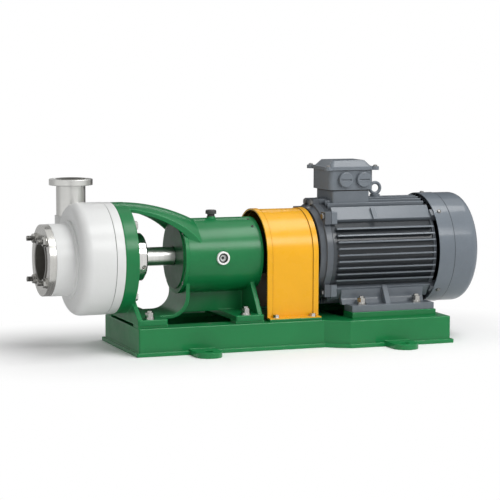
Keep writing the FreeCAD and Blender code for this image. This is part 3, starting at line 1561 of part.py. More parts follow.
def motor_shaft():
    """Stepped motor shaft with a keyway at its coupling end."""
    fan_seat_x = fan_bearing_x + motor_bearing_width
    shaft = turned([(motor_shaft_end_x, 0), (motor_shaft_end_x, motor_shaft_r, 1),
                    (motor_shoulder_x, motor_shaft_r),
                    (motor_shoulder_x, motor_journal_r),
                    (drive_bearing_x + motor_bearing_width, motor_journal_r),
                    (drive_bearing_x + motor_bearing_width, motor_body_shaft_r),
                    (fan_bearing_x, motor_body_shaft_r),
                    (fan_bearing_x, motor_journal_r), (fan_seat_x, motor_journal_r),
                    (fan_seat_x, fan_seat_r),
                    (fan_x + fan_hub_length, fan_seat_r), (fan_x + fan_hub_length, 0)])
    return shaft.cut(coupling_keyway(motor_shaft_end_x, motor_shaft_end_x + motor_hub_length,
                                     motor_shaft_r))


def motor_shaft_key():
    """Key of the motor's coupling hub."""
    return coupling_key(motor_shaft_end_x, motor_shaft_end_x + motor_hub_length, motor_shaft_r)


def cooling_fan():
    """Radial fan: hub, disc and straight blades."""
    hub = ring(fan_x, fan_x + fan_hub_length, fan_seat_r + seat_gap, fan_hub_r)
    disc = ring(fan_x, fan_x + fan_disc, fan_hub_r - 2, fan_r)
    blade = block(fan_x + 1, fan_x + fan_blade_length, -fan_blade_thickness / 2, fan_blade_thickness / 2,
                  shaft_z + fan_hub_r - 2, shaft_z + fan_r - 1)
    return hub.fuse([disc] + polar_array(blade, fan_blade_count)).removeSplitter()


def fan_cover():
    """Drawn sheet cover with a step behind the front band and rings of slots in its end."""
    x0 = frame_end_x + fan_cover_gap
    x1 = x0 + fan_cover_length
    step_x = x0 + fan_cover_front_length
    outer = turned([(x0, 0), (x0, fan_cover_r), (step_x, fan_cover_r),
                    (step_x, fan_cover_r - fan_cover_step),
                    (x1, fan_cover_r - fan_cover_step, fan_cover_bend_r), (x1, 0)])
    inner_r = fan_cover_r - fan_cover_sheet
    inner_end = x1 - fan_cover_sheet
    inner = turned([(x0 - 1, 0), (x0 - 1, inner_r), (step_x, inner_r), (step_x, inner_r - fan_cover_step),
                    (inner_end, inner_r - fan_cover_step, fan_cover_bend_r - fan_cover_sheet),
                    (inner_end, 0)])
    body = outer.cut(inner)
    width = 360.0 / grille_slots - grille_bridge_angle
    slots = []
    for row in range(grille_rings):
        r0 = grille_inner_r + row * grille_pitch
        for index in range(grille_slots):
            middle = 360.0 / grille_slots * (index + 0.5)
            slots.append(sector(inner_end - 1, x1 + 1, r0, r0 + grille_slot_width, middle, width))
    body = body.cut(slots)
    for angle in (45, 135, 225, 315):
        outward = outward_at(angle)
        start = at_angle(inner_r - 4, angle, fan_screw_x)
        body = body.cut(Part.makeCylinder(m6_r, 12, start, outward))
    return body


def terminal_box():
    """Cast box with a cable hole in its floor and two threaded entries in its near wall."""
    x1 = box_x + box_length
    body = slab(rectangle(box_x, x1, box_half_width, box_corner_r), box_z, box_z + box_height)
    inner = rectangle(box_x + box_wall, x1 - box_wall, box_half_width - box_wall, box_corner_r - 3)
    body = body.cut(slab(inner, box_z + box_wall, box_z + box_height + 1))
    body = body.cut(post(pedestal_x + pedestal_length / 2, 0, box_z - 1, box_z + box_wall + 1,
                         cable_hole_r))
    for inset in (front_plug_inset, rear_plug_inset):
        hole = Part.makeCylinder(plug_thread_r, 2 * box_wall,
                                 Vec(box_x + inset, -box_half_width - 1, plug_z), Vec(0, 1, 0))
        body = body.cut(hole)
    return body


def terminal_gaskets():
    """Flat gaskets below the box and below its lid."""
    low = slab(rectangle(pedestal_x, pedestal_x + pedestal_length, pedestal_half_width, 6), pedestal_top_z,
               box_z)
    low = low.cut(post(pedestal_x + pedestal_length / 2, 0, pedestal_top_z - 1, box_z + 1, cable_hole_r))
    x1 = box_x + box_length
    high = slab(rectangle(box_x, x1, box_half_width, box_corner_r), box_z + box_height, lid_z)
    inner = rectangle(box_x + box_wall, x1 - box_wall, box_half_width - box_wall, box_corner_r - 3)
    return group([low, high.cut(slab(inner, box_z, lid_z + 1))])


def lid_corners():
    """Centres of the lid's four screw ears."""
    inset = lid_overhang - 1
    return [(x, y) for x in (box_x - inset, box_x + box_length + inset)
            for y in (-box_half_width - inset + 2, box_half_width + inset - 2)]


def terminal_box_lid():
    """Lid with screw ears and a raised top with sloping sides."""
    x0 = box_x - lid_overhang
    x1 = box_x + box_length + lid_overhang
    half = box_half_width + lid_overhang
    flange = slab(rectangle(x0, x1, half, box_corner_r), lid_z, lid_z + lid_flange)
    ears = [post(x, y, lid_z, lid_z + lid_flange, lid_ear_r) for x, y in lid_corners()]
    low = outline(rectangle(x0 + 6, x1 - 6, half - 6, box_corner_r), plan(lid_z + lid_flange - 0.5))
    high = outline(rectangle(x0 + 6 + lid_slope, x1 - 6 - lid_slope, half - 6 - lid_slope, 4),
                   plan(lid_z + lid_flange + lid_rise))
    top = Part.makeLoft([low, high], True, True)
    body = flange.fuse(ears + [top]).removeSplitter()
    for x, y in lid_corners():
        body = body.cut(post(x, y, lid_z - 1, lid_z + lid_flange + 1, lid_screw_r))
    return body


def terminal_board():
    """Insulating board with six terminal studs on the box's floor."""
    x0 = box_x + (box_length - board_length) / 2
    z0 = box_z + box_wall
    low_y = board_y - board_half_width
    board = block(x0, x0 + board_length, low_y, board_y + board_half_width, z0, z0 + board_thickness)
    studs = []
    for index in range(terminal_count):
        x = x0 + board_length * (index % 3 + 0.5) / 3
        y = board_y + board_half_width / 2 * (1 if index < 3 else -1)
        studs.append(post(x, y, z0 + 2, z0 + board_thickness + terminal_height, terminal_r))
    return board.fuse(studs)


def cable_entry_plugs():
    """Two slotted blanking plugs in the cable entries."""
    plugs = []
    for inset in (front_plug_inset, rear_plug_inset):
        face_y = -box_half_width - plug_rise
        start = Vec(box_x + inset, face_y, plug_z)
        head = Part.makeCylinder(plug_r, plug_rise, start, Vec(0, 1, 0))
        head = head.makeChamfer(1.2,
                                [e for e in head.Edges if max(v.Y for v in e.Vertexes) < face_y + 0.01])
        thread = Part.makeCylinder(plug_thread_r - seat_gap, plug_rise + box_wall + 1, start, Vec(0, 1, 0))
        slot = block(box_x + inset - plug_r * 0.75, box_x + inset + plug_r * 0.75, face_y - 1,
                     face_y + plug_slot_depth,
                     plug_z - plug_slot_width / 2, plug_z + plug_slot_width / 2)
        plugs.append(head.fuse(thread).cut(slot).removeSplitter())
    return group(plugs)


def eye_bolt():
    """Lifting eye on the motor frame."""
    base = shaft_z + eye_boss_rise
    collar = post(eye_x, 0, base, base + eye_collar_height, eye_collar_r)
    thread = post(eye_x, 0, base - eye_thread_length + 2, base + 1, eye_thread_r - seat_gap)
    centre_z = base + eye_collar_height + eye_ring_r + eye_wire_r - 2
    eye = Part.makeTorus(eye_ring_r, eye_wire_r, Vec(eye_x, 0, centre_z), Vec(0, 1, 0))
    return collar.multiFuse([thread, eye])


def foot_bolt(shank):
    """Bolt end along Z with a nut over a flat and a spring washer; the plate's top is the origin."""
    seat = m12_washer_thickness + m12_spring_thickness
    nut = hexagon(m12_flats, m12_nut_height).translate(Vec(0, 0, seat))
    parts = [Part.makeCylinder(m12_r, shank + seat + m12_nut_height + m12_end_rise, Vec(0, 0, -shank)),
             Part.makeCylinder(m12_washer_r, m12_washer_thickness), Part.makeCylinder(m12_spring_r, seat)]
    return nut.multiFuse(parts)


def foot_bolts():
    """Bolts with nuts and washers through the pump's and the motor's feet into the base."""
    bolts = []
    for x in (front_foot_x, rear_foot_x):
        shank = foot_thickness + pump_pad_thickness + base_wall + bolt_end
        bolts.append((foot_bolt_x(x), pump_foot_bolt_y, foot_top_z, shank))
    for x in (motor_bolt_x, motor_bolt_x + motor_bolt_spacing):
        shank = motor_foot_thickness + motor_pad_thickness + base_wall + bolt_end
        bolts.append((x, motor_bolt_gauge / 2, motor_foot_z + motor_foot_thickness, shank))
    shapes = []
    for x, y, z, shank in bolts:
        shapes += [placed(foot_bolt(shank), Vec(x, -y, z)), placed(foot_bolt(shank), Vec(x, y, z))]
    return group(shapes)


def bearing_nodes():
    """Ring, ball and cage nodes of the pump's and the motor's bearings."""
    pump_places = (front_bearing_x, rear_bearing_x)
    motor_places = (drive_bearing_x, fan_bearing_x)
    pump_inner, pump_outer = bearing_rings(pump_places, bearing_width, journal_r, inner_ring_r,
                                           outer_ring_bore_r, bearing_r, bearing_pitch_r, ball_r)
    motor_inner, motor_outer = bearing_rings(motor_places, motor_bearing_width, motor_journal_r,
                                             motor_inner_ring_r,
                                             motor_outer_ring_bore_r, motor_bearing_r,
                                             motor_bearing_pitch_r,
                                             motor_ball_r)
    return {
        "bearing_outer_rings": group(pump_outer + motor_outer),
        "pump_bearing_inner_rings": group(pump_inner),
        "motor_bearing_inner_rings": group(motor_inner),
        "pump_bearing_balls": group(ball_set(pump_places, bearing_width, bearing_pitch_r, ball_r,
                                             cage_inner_r, cage_outer_r)),
        "motor_bearing_balls": group(ball_set(motor_places, motor_bearing_width, motor_bearing_pitch_r,
                                              motor_ball_r, motor_cage_inner_r, motor_cage_outer_r)),
    }


def export(nodes):
    """Write each node as one file."""
    os.makedirs("parts", exist_ok=True)
    for name, shape in nodes.items():
        shape.exportStep(os.path.join("parts", name + ".step"))


nodes = {
    "base_frame": base_frame(),
    "pump_pads": pump_pads(),
    "motor_pads": motor_pads(),
    "guard_rails": guard_rails(),
    "pump_casing": pump_casing(),
    "casing_lining": casing_lining(),
    "casing_gasket": casing_gasket(),
    "casing_cover": casing_cover(),
    "cover_lining": cover_lining_disc(),
    "suction_flange": suction_flange(),
    "suction_studs": suction_studs(),
    "suction_nuts": suction_nuts(),
    "discharge_pipe": discharge_pipe(),
    "casing_bolts": casing_bolts(),
    "impeller": impeller(),
    "impeller_nut": impeller_nut(),
    "pump_shaft": pump_shaft(),
    "pump_shaft_keys": pump_shaft_keys(),
    "shaft_sleeve": shaft_sleeve(),
    "seal_seat": seal_seat(),
    "seal_ring": seal_ring(),
    "seal_bellows": seal_bellows(),
    "seal_collar": seal_collar(),
    "seal_gland": seal_gland(),
    "gland_bolts": gland_bolts(),
    "bearing_frame": bearing_frame(),
    "front_bearing_cover": front_bearing_cover(),
    "rear_bearing_cover": rear_bearing_cover(),
    "lip_seals": lip_seals(),
    "breather": breather(),
    "oil_sight_ring": oil_sight_ring(),
    "oil_sight_window": oil_sight_window(),
    "foot_bolts": foot_bolts(),
    "pump_coupling_hub": pump_coupling_hub(),
    "motor_coupling_hub": motor_coupling_hub(),
    "coupling_spider": coupling_spider(),
    "coupling_guard": coupling_guard(),
    "guard_bolts": guard_bolts(),
    "motor_frame": motor_frame(),
    "drive_shield": drive_shield(),
    "rear_shield": rear_shield(),
    "shield_bolts": shield_bolts(),
    "stator_core": stator_core(),
    "stator_windings": stator_windings(),
    "rotor_core": rotor_core(),
    "motor_shaft": motor_shaft(),
    "motor_shaft_key": motor_shaft_key(),
    "cooling_fan": cooling_fan(),
    "fan_cover": fan_cover(),
    "terminal_box": terminal_box(),
    "terminal_gaskets": terminal_gaskets(),
    "terminal_box_lid": terminal_box_lid(),
    "terminal_board": terminal_board(),
    "cable_entry_plugs": cable_entry_plugs(),
    "eye_bolt": eye_bolt(),
}
nodes.update(bearing_nodes())
export(nodes)
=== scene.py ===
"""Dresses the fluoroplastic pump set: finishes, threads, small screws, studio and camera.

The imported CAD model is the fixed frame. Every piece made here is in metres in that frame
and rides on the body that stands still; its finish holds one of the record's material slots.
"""

import logging
import math
from dataclasses import dataclass, replace
from enum import Enum
from typing import Any, ClassVar, Iterable, Mapping, Optional, Sequence, Tuple, Union

import bmesh
import bpy
from bmesh.types import BMesh, BMEdge
from bpy.types import ID, Material, Mesh, Node, NodeOutputs, NodeSocket, NodeTree, Object, World
from mathutils import Matrix, Vector


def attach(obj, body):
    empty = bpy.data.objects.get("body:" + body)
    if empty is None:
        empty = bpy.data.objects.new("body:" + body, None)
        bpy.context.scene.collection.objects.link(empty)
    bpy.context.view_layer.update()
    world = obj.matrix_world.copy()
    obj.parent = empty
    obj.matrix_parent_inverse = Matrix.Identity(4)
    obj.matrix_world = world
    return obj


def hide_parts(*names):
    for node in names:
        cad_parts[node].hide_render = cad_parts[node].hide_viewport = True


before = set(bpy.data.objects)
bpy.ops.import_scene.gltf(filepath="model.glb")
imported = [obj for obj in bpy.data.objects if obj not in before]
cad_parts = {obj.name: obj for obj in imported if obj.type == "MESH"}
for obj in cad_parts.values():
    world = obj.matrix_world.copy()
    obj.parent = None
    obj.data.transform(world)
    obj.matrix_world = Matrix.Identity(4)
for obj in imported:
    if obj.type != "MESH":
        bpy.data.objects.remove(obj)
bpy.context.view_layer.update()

LOG = logging.getLogger("pump_set")
STILL_BODY = "pump_set"
SHAFT_HEIGHT = 0.208
QUARTERS = (45, 135, 225, 315)
SHARP_EDGE = math.radians(35)
WELD = 1e-6
# Numbers of the colour sockets of a mix node.
MIX_FACTOR, MIX_FIRST, MIX_SECOND, MIX_RESULT = 0, 6, 7, 2
WHITE = (1.0, 1.0, 1.0, 1.0)

Value = Union[float, Tuple[float, ...], NodeSocket]
Inputs = Union[Mapping[Union[str, int], Value], Sequence[Value]]
Wiring = Mapping[str, Value]
Place = Tuple[float, float, float]
Rgba = Tuple[float, float, float, float]

# The material slots of the record.
Slot = Enum("Slot", {name.upper(): name for name in (
    "green_enamel", "white_enamel", "stainless", "fluoroplastic", "guard_orange", "motor_grey",
    "zinc", "steel", "dark_iron", "black_plastic", "rubber", "gasket", "elastomer", "ceramic",
    "carbon", "glass", "laminations", "copper")})


def colour(code: str) -> Rgba:
    """Turns a hex colour into the linear colour that a shader takes.

    Args:
        code: Six hex digits, as seen on a screen.

    Returns:
        Linear red, green, blue and an alpha of one.
    """
    channels = [int(code[i:i + 2], 16) / 255 for i in (0, 2, 4)]
    linear = [c / 12.92 if c <= 0.04045 else ((c + 0.055) / 1.055) ** 2.4 for c in channels]
    return (linear[0], linear[1], linear[2], 1.0)


def toned(base: Rgba, share: float) -> Rgba:
    """Multiplies a colour's red, green and blue by a share."""
    return (base[0] * share, base[1] * share, base[2] * share, 1.0)


class Graph:
    """A node tree with short ways to add and join its nodes."""

    def __init__(self, tree: NodeTree) -> None:
        """Wraps a node tree."""
        self.tree = tree

    @classmethod
    def blank(cls, owner: Union[Material, World]) -> "Graph":
        """Clears the nodes of a material or world.

        Args:
            owner: The material or world.

        Returns:
            Its empty tree.
        """
        owner.use_nodes = True
        owner.node_tree.nodes.clear()
        return cls(owner.node_tree)

    def add(self, kind: str, inputs: Inputs = (), **settings: Any) -> Node:
        """Adds a node.

        Args:
            kind: The node's type.
            inputs: Sockets or constants, by input name or in order.
            **settings: The node's own properties.

        Returns:
            The new node.
        """
        node = self.tree.nodes.new(kind)
        for name, value in settings.items():
            setattr(node, name, value)
        for key, value in inputs.items() if isinstance(inputs, dict) else enumerate(inputs):
            if isinstance(value, NodeSocket):
                self.tree.links.new(value, node.inputs[key])
            else:
                node.inputs[key].default_value = value
        return node

    def calc(self, operation: str, *values: Value) -> NodeSocket:
        """Adds a math node and gives its result."""
        return self.add("ShaderNodeMath", values, operation=operation).outputs[0]

    def hypot(self, first: Value, second: Value) -> NodeSocket:
        """Gives the root of the sum of two squares."""
        square = self.calc("MULTIPLY", second, second)
        return self.calc("SQRT", self.calc("MULTIPLY_ADD", first, first, square))

    def span(self, value: Value, low: float, high: float, to_low: float = 0.0,
             to_high: float = 1.0) -> NodeSocket:
        """Maps the span from low to high smoothly to the span from to_low to to_high."""
        return self.add("ShaderNodeMapRange", (value, low, high, to_low, to_high),
                        interpolation_type="SMOOTHSTEP").outputs[0]

    def mix(self, factor: Value, first: Value, second: Value) -> NodeSocket:
        """Mixes two colours, where factor is the share of the second."""
        inputs = {MIX_FACTOR: factor, MIX_FIRST: first, MIX_SECOND: second}
        return self.add("ShaderNodeMix", inputs, data_type="RGBA").outputs[MIX_RESULT]

    def noise(self, vector: Value, scale: Value, detail: float = 3.0,
              rough: float = 0.6) -> NodeSocket:
        """Adds noise of a scale in waves per metre, with its octaves and their strength."""
        inputs = {"Vector": vector, "Scale": scale, "Detail": detail, "Roughness": rough}
        return self.add("ShaderNodeTexNoise", inputs).outputs["Fac"]

    def place(self) -> NodeSocket:
        """Gives object coordinates, in metres of the frame."""
        return self.add("ShaderNodeTexCoord").outputs["Object"]

    def parts(self, vector: Value) -> NodeOutputs:
        """Splits a vector into its X, Y and Z."""
        return self.add("ShaderNodeSeparateXYZ", (vector,)).outputs

    def shifted(self, centre: Place, turn: Place) -> NodeSocket:
        """Gives object coordinates counted from a centre and turned by Euler angles."""
        moved = self.add("ShaderNodeVectorMath", (self.place(), centre), operation="SUBTRACT")
        return self.add("ShaderNodeMapping", {"Vector": moved.outputs[0],
                                              "Rotation": turn}).outputs[0]

    def bump(self, height: Value, depth: float, normal: Value) -> NodeSocket:
        """Adds relief of a height of 0 to 1 and a depth in metres to a normal."""
        inputs = {"Height": height, "Distance": depth, "Strength": 1.0, "Normal": normal}
        return self.add("ShaderNodeBump", inputs).outputs[0]

    def group(self, effect: "Effect", **inputs: Value) -> NodeOutputs:
        """Places a shared effect with its named inputs and gives its outputs."""
        return self.add("ShaderNodeGroup", inputs, node_tree=effect.tree()).outputs


class Effect:
    """A surface effect that several finishes share, as one node group."""

    name = "effect"
    inputs: Sequence[Tuple[str, Optional[float]]] = ()
    outputs: Sequence[str] = ()

    def tree(self) -> NodeTree:
        """Gives the effect's node group, made on first use.

        Returns:
            The node group.
        """
        found = bpy.data.node_groups.get(self.name)
        if found is not None:
            return found
        tree = bpy.data.node_groups.new(self.name, "ShaderNodeTree")
        sockets = [(name, "INPUT", value) for name, value in self.inputs]
        sockets += [(name, "OUTPUT", None if name == "Normal" else 0.0) for name in self.outputs]
        for name, way, value in sockets:
            kind = "NodeSocketVector" if value is None else "NodeSocketFloat"
            socket = tree.interface.new_socket(name, in_out=way, socket_type=kind)
            if value is not None:
                socket.default_value = value
        graph = Graph(tree)
        graph.add("NodeGroupOutput", self.build(graph, graph.add("NodeGroupInput").outputs))
        return tree

    def build(self, graph: Graph, given: NodeOutputs) -> Wiring:
        """Makes the nodes inside the group.

        Args:
            graph: The group's tree.
            given: The group's inputs.

        Returns:
            What goes to each output.
        """
        raise NotImplementedError


class SoftEdge(Effect):
    """Rounds hard edges in the shading and marks where they are."""

    name = "soft_edge"
    inputs = (("Radius", 0.001),)
    outputs = ("Normal", "Edge")
    samples = 6
    flat_from = 0.995
    edge_from = 0.86

    def build(self, graph: Graph, given: NodeOutputs) -> Wiring:
        """See Effect.build."""
        bevel = graph.add("ShaderNodeBevel", {"Radius": given["Radius"]}, samples=self.samples)
        flat = graph.add("ShaderNodeNewGeometry").outputs["Normal"]
        agree = graph.add("ShaderNodeVectorMath", (bevel.outputs[0], flat),
                          operation="DOT_PRODUCT").outputs["Value"]
        return {"Normal": bevel.outputs[0],
                "Edge": graph.span(agree, self.flat_from, self.edge_from)}


class PaintSkin(Effect):
    """Orange peel, slow waves and cloudy tone of a sprayed coat."""

    name = "paint_skin"
    inputs = (("Vector", None), ("Peel", 800.0), ("Waves", 70.0))
    outputs = ("Height", "Tone", "Gloss")
    cloud_scale = 9.0
    fleck_scale = 240.0
    gloss_scale = 26.0
    wave_share = 4.0
    fleck_share = 0.3

    def build(self, graph: Graph, given: NodeOutputs) -> Wiring:
        """See Effect.build."""
        place = given["Vector"]
        peel = graph.noise(place, given["Peel"], 1.5, 0.4)
        waves = graph.noise(place, given["Waves"], 2.0, 0.5)
        cloud = graph.noise(place, self.cloud_scale)
        fleck = graph.noise(place, self.fleck_scale, 2.0)
        clouds = graph.calc("MULTIPLY", cloud, 1.0 - self.fleck_share)
        tone = graph.calc("MULTIPLY_ADD", fleck, self.fleck_share, clouds)
        return {"Height": graph.calc("MULTIPLY_ADD", waves, self.wave_share, peel),
                "Tone": graph.span(tone, 0.35, 0.65),
                "Gloss": graph.noise(place, self.gloss_scale)}


class CastSkin(Effect):
    """Fine sand-cast grain."""

    name = "cast_skin"
    inputs = (("Vector", None), ("Grain", 420.0))
    outputs = ("Height", "Tone")
    tone_scale = 60.0
    cell_share = 0.4

    def build(self, graph: Graph, given: NodeOutputs) -> Wiring:
        """See Effect.build."""
        grain = graph.noise(given["Vector"], given["Grain"], 4.0, 0.65)
        cells = graph.add("ShaderNodeTexVoronoi",
                          {"Vector": given["Vector"], "Scale": given["Grain"]},
                          feature="SMOOTH_F1").outputs["Distance"]
        return {"Height": graph.calc("MULTIPLY_ADD", cells, self.cell_share, grain),
                "Tone": graph.noise(given["Vector"], self.tone_scale, 4.0)}


class TurnedGrain(Effect):
    """Fine rings left by a lathe round the X axis of the given coordinates."""

    name = "turned_grain"
    inputs = (("Vector", None), ("Density", 1500.0))
    outputs = ("Height", "Tone")
    broad_scale = 0.12
    drift = 0.8

    def build(self, graph: Graph, given: NodeOutputs) -> Wiring:
        """See Effect.build."""
        x, y, z = graph.parts(given["Vector"])
        turned = graph.calc("SINE", graph.calc("ARCTAN2", z, y))
        ring = graph.add("ShaderNodeCombineXYZ", (
            graph.calc("MULTIPLY", x, given["Density"]),
            graph.calc("MULTIPLY", graph.hypot(y, z), given["Density"]),
            graph.calc("MULTIPLY", turned, self.drift))).outputs[0]
        fine = graph.noise(ring, 1.0)
        broad = graph.noise(ring, self.broad_scale, 2.0, 0.5)
        return {"Height": fine, "Tone": graph.span(graph.calc("ADD", fine, broad), 0.7, 1.3)}


class GroundGrain(Effect):
    """Short scratches that run along X of the given coordinates."""

    name = "ground_grain"
    inputs = (("Vector", None), ("Density", 1800.0))
    outputs = ("Height", "Tone")
    stretch = (0.06, 1.0, 1.0)
    tone_scale = 160.0

    def build(self, graph: Graph, given: NodeOutputs) -> Wiring:
        """See Effect.build."""
        drawn = graph.add("ShaderNodeMapping", {"Vector": given["Vector"], "Scale": self.stretch})
        return {"Height": graph.noise(drawn.outputs[0], given["Density"]),
                "Tone": graph.noise(given["Vector"], self.tone_scale)}


class ShaftDistance(Effect):
    """Measures how far a point is from the shaft's axis, or from an arch over it."""

    name = "shaft_distance"
    inputs = (("Vector", None),)
    outputs = ("Round", "Arch")

    def build(self, graph: Graph, given: NodeOutputs) -> Wiring:
        """See Effect.build."""
        _, across, z = graph.parts(given["Vector"])
        rise = graph.calc("SUBTRACT", z, SHAFT_HEIGHT)
        return {"Round": graph.hypot(rise, across),
                "Arch": graph.hypot(graph.calc("MAXIMUM", rise, 0.0), across)}


@dataclass(frozen=True)
class Finish:
    """A surface finish, made into one material.

    Attributes:
        name: The material's name.
        slot: The record's slot it stands for; not used here.
        tint: Colour as seen, in hex.
        roughness: Middle roughness.
        edge: Radius of the softened edges.
    """

    name: str
    slot: Slot
    tint: str
    roughness: float
    edge: float = 0.0009

    def material(self) -> Material:
        """Gives the material, made on first use.

        Returns:
            The material.
        """
        found = bpy.data.materials.get(self.name)
        if found is not None:
            return found
        made = bpy.data.materials.new(self.name)
        graph = Graph.blank(made)
        shader = graph.add("ShaderNodeBsdfPrincipled", self.surface(graph))
        graph.add("ShaderNodeOutputMaterial", {"Surface": shader.outputs[0]})
        return made

    def surface(self, graph: Graph) -> Wiring:
        """Makes the nodes before the shader.

        Args:
            graph: The material's tree.

        Returns:
            Inputs of the Principled BSDF.
        """
        raise NotImplementedError

    def relief(self, graph: Graph, height: Value, depth: float) -> NodeSocket:
        """Adds relief of a depth in metres to the softened normal."""
        return graph.bump(height, depth, graph.group(SoftEdge(), Radius=self.edge)["Normal"])

    def two_tone(self, graph: Graph, factor: Value, shade: float) -> NodeSocket:
        """Mixes the tint with one that is darker by shade, by a factor."""
        base = colour(self.tint)
        return graph.mix(factor, base, toned(base, 1 - shade))

    def rough(self, graph: Graph, value: Value, low: float, high: float,
              above: float = 0.05, below: float = 0.05) -> NodeSocket:
        """Lets the roughness vary while a value goes from low to high."""
        return graph.span(value, low, high, self.roughness - below, self.roughness + above)


@dataclass(frozen=True)
class Enamel(Finish):
    """Sprayed enamel over sheet or smooth casting.

    Attributes:
        specular: Specular level of the paint itself.
        coat: Weight of the clear top.
        coat_roughness: Its roughness.
        peel: Depth of the orange peel.
        cast: Depth of the cast grain that shows through.
        edge_highlight: How much the paint turns to a paler painted highlight on edges.
        shade: How much darker the cloudy patches are.
        seams: Places along the shaft where a sheet seam or crease runs round, each a shallow
            groove with painted shade along it.
        painted_seam_shade: Share of the tint left under a seam's painted shade.
        painted_shade_span: Kind of distance from the shaft, and the distances between which
            the painted shade on the inside gives way to the full tint.
        painted_shade_share: Share of the tint left under the painted shade on the inside.
    """

    specular: float = 0.1
    coat: float = 0.5
    coat_roughness: float = 0.1
    peel: float = 0.00001
    cast: float = 0.0
    edge_highlight: float = 0.35
    shade: float = 0.1
    seams: Tuple[float, ...] = ()
    painted_seam_shade: float = 0.25
    painted_shade_span: Optional[Tuple[str, float, float]] = None
    painted_shade_share: float = 0.3
    # How far the painted highlight on edges moves towards the purest, palest form of the tint.
    edge_highlight_tint = 0.35
    seam_span = (0.0002, 0.0011)
    seam_depth = 0.0006

    def surface(self, graph: Graph) -> Wiring:
        """See Finish.surface."""
        place = graph.place()
        skin = graph.group(PaintSkin(), Vector=place)
        edge = graph.group(SoftEdge(), Radius=self.edge)
        base = colour(self.tint)
        # Painted highlight: on edges the tint is mixed towards a paler, purer tone, as if the
        # edges caught the light.
        strongest = max(base[:3])
        edge_highlight_colour = tuple(c + (c / strongest - c) * self.edge_highlight_tint for c in base[:3]) + (1.0,)
        lit = graph.mix(graph.calc("MULTIPLY", edge["Edge"], self.edge_highlight),
                        self.two_tone(graph, skin["Tone"], self.shade), edge_highlight_colour)
        normal = graph.bump(skin["Height"], self.peel, edge["Normal"])
        # Painted shade: within the given distance from the shaft the tint is darkened, as if shade
        # fell there.
        if self.painted_shade_span is not None:
            kind, low, high = self.painted_shade_span
            away = graph.group(ShaftDistance(), Vector=place)[kind]
            lit = graph.mix(graph.span(away, low, high), toned(base, self.painted_shade_share), lit)
        if self.cast:
            grain = graph.group(CastSkin(), Vector=place)["Height"]
            normal = graph.bump(grain, self.cast, normal)
        # Each seam is a shallow groove in the relief, with painted shade along it.
        for seam in self.seams:
            away = graph.calc("ABSOLUTE", graph.calc("SUBTRACT", graph.parts(place)[0], seam))
            flat = graph.span(away, *self.seam_span)
            lit = graph.mix(flat, toned(base, self.painted_seam_shade), lit)
            normal = graph.bump(flat, self.seam_depth, normal)
        return {"Base Color": lit, "Roughness": self.rough(graph, skin["Gloss"], 0.3, 0.7),
                "Specular IOR Level": self.specular, "Coat Weight": self.coat,
                "Coat Roughness": self.coat_roughness, "Normal": normal, "Coat Normal": normal}


@dataclass(frozen=True)
class Turned(Finish):
    """Bare metal turned on a lathe.

    Attributes:
        centre: A point on the axis.
        turn: Euler angles that bring the axis onto X.
        density: Rings per metre.
        groove: Depth of the rings.
        dark: How much darker the darker rings are.
    """

    centre: Place = (0.0, 0.0, SHAFT_HEIGHT)
    turn: Place = (0.0, 0.0, 0.0)
    density: float = 1400.0
    groove: float = 0.000008
    dark: float = 0.12

    def surface(self, graph: Graph) -> Wiring:
        """See Finish.surface."""
        place = graph.shifted(self.centre, self.turn)
        rings = graph.group(TurnedGrain(), Vector=place, Density=self.density)
        return {"Base Color": self.two_tone(graph, rings["Tone"], self.dark),
                "Metallic": 1.0,
                "Roughness": self.rough(graph, rings["Tone"], 0.0, 1.0, 0.06, 0.04),
                "Normal": self.relief(graph, rings["Height"], self.groove)}


@dataclass(frozen=True)
class Plated(Finish):
    """Zinc-plated or ground steel of bolts, keys and rings.

    Attributes:
        scratch: Depth of its fine scratches.
        dark: How much darker its patches are.
    """

    scratch: float = 0.000006
    dark: float = 0.2

    def surface(self, graph: Graph) -> Wiring:
        """See Finish.surface."""
        grain = graph.group(GroundGrain(), Vector=graph.place())
        return {"Base Color": self.two_tone(graph, grain["Tone"], self.dark),
                "Metallic": 1.0,
                "Roughness": self.rough(graph, grain["Tone"], 0.3, 0.7, 0.07),
                "Normal": self.relief(graph, grain["Height"], self.scratch)}


@dataclass(frozen=True)
class Moulded(Finish):
    """Moulded plastic, rubber, gasket sheet, ceramic or carbon.

    Attributes:
        grain: Depth of its surface grain.
        shade: How much darker its patches are.
        soft: Share of light that goes into it.
        coat: Weight of a glossy top.
    """

    grain: float = 0.00001
    shade: float = 0.15
    soft: float = 0.0
    coat: float = 0.0
    grain_scale = 900.0
    soft_depth = 0.004

    def surface(self, graph: Graph) -> Wiring:
        """See Finish.surface."""
        skin = graph.group(CastSkin(), Vector=graph.place(), Grain=self.grain_scale)
        return {"Base Color": self.two_tone(graph, skin["Tone"], self.shade),
                "Roughness": self.rough(graph, skin["Tone"], 0.3, 0.7),
                "Normal": self.relief(graph, skin["Height"], self.grain),
                "Subsurface Weight": self.soft, "Subsurface Scale": self.soft_depth,
                "Coat Weight": self.coat}


@dataclass(frozen=True)
class Stacked(Finish):
    """Core sheets or wound wire, as lines across the X axis.

    Attributes:
        pitch: Distance between two lines.
        depth: Depth of the lines.
    """

    pitch: float = 0.0005
    depth: float = 0.00008
    line_tone = 0.45
    line_rough = 0.2

    def surface(self, graph: Graph) -> Wiring:
        """See Finish.surface."""
        phase = graph.calc("MULTIPLY", graph.parts(graph.place())[0], 2 * math.pi / self.pitch)
        line = graph.span(graph.calc("SINE", phase), -0.9, 0.2)
        base = colour(self.tint)
        return {"Base Color": graph.mix(line, toned(base, self.line_tone), base),
                "Metallic": 1.0,
                "Roughness": self.rough(graph, line, 0.0, 1.0, 0.0, -self.line_rough),
                "Normal": self.relief(graph, line, self.depth)}


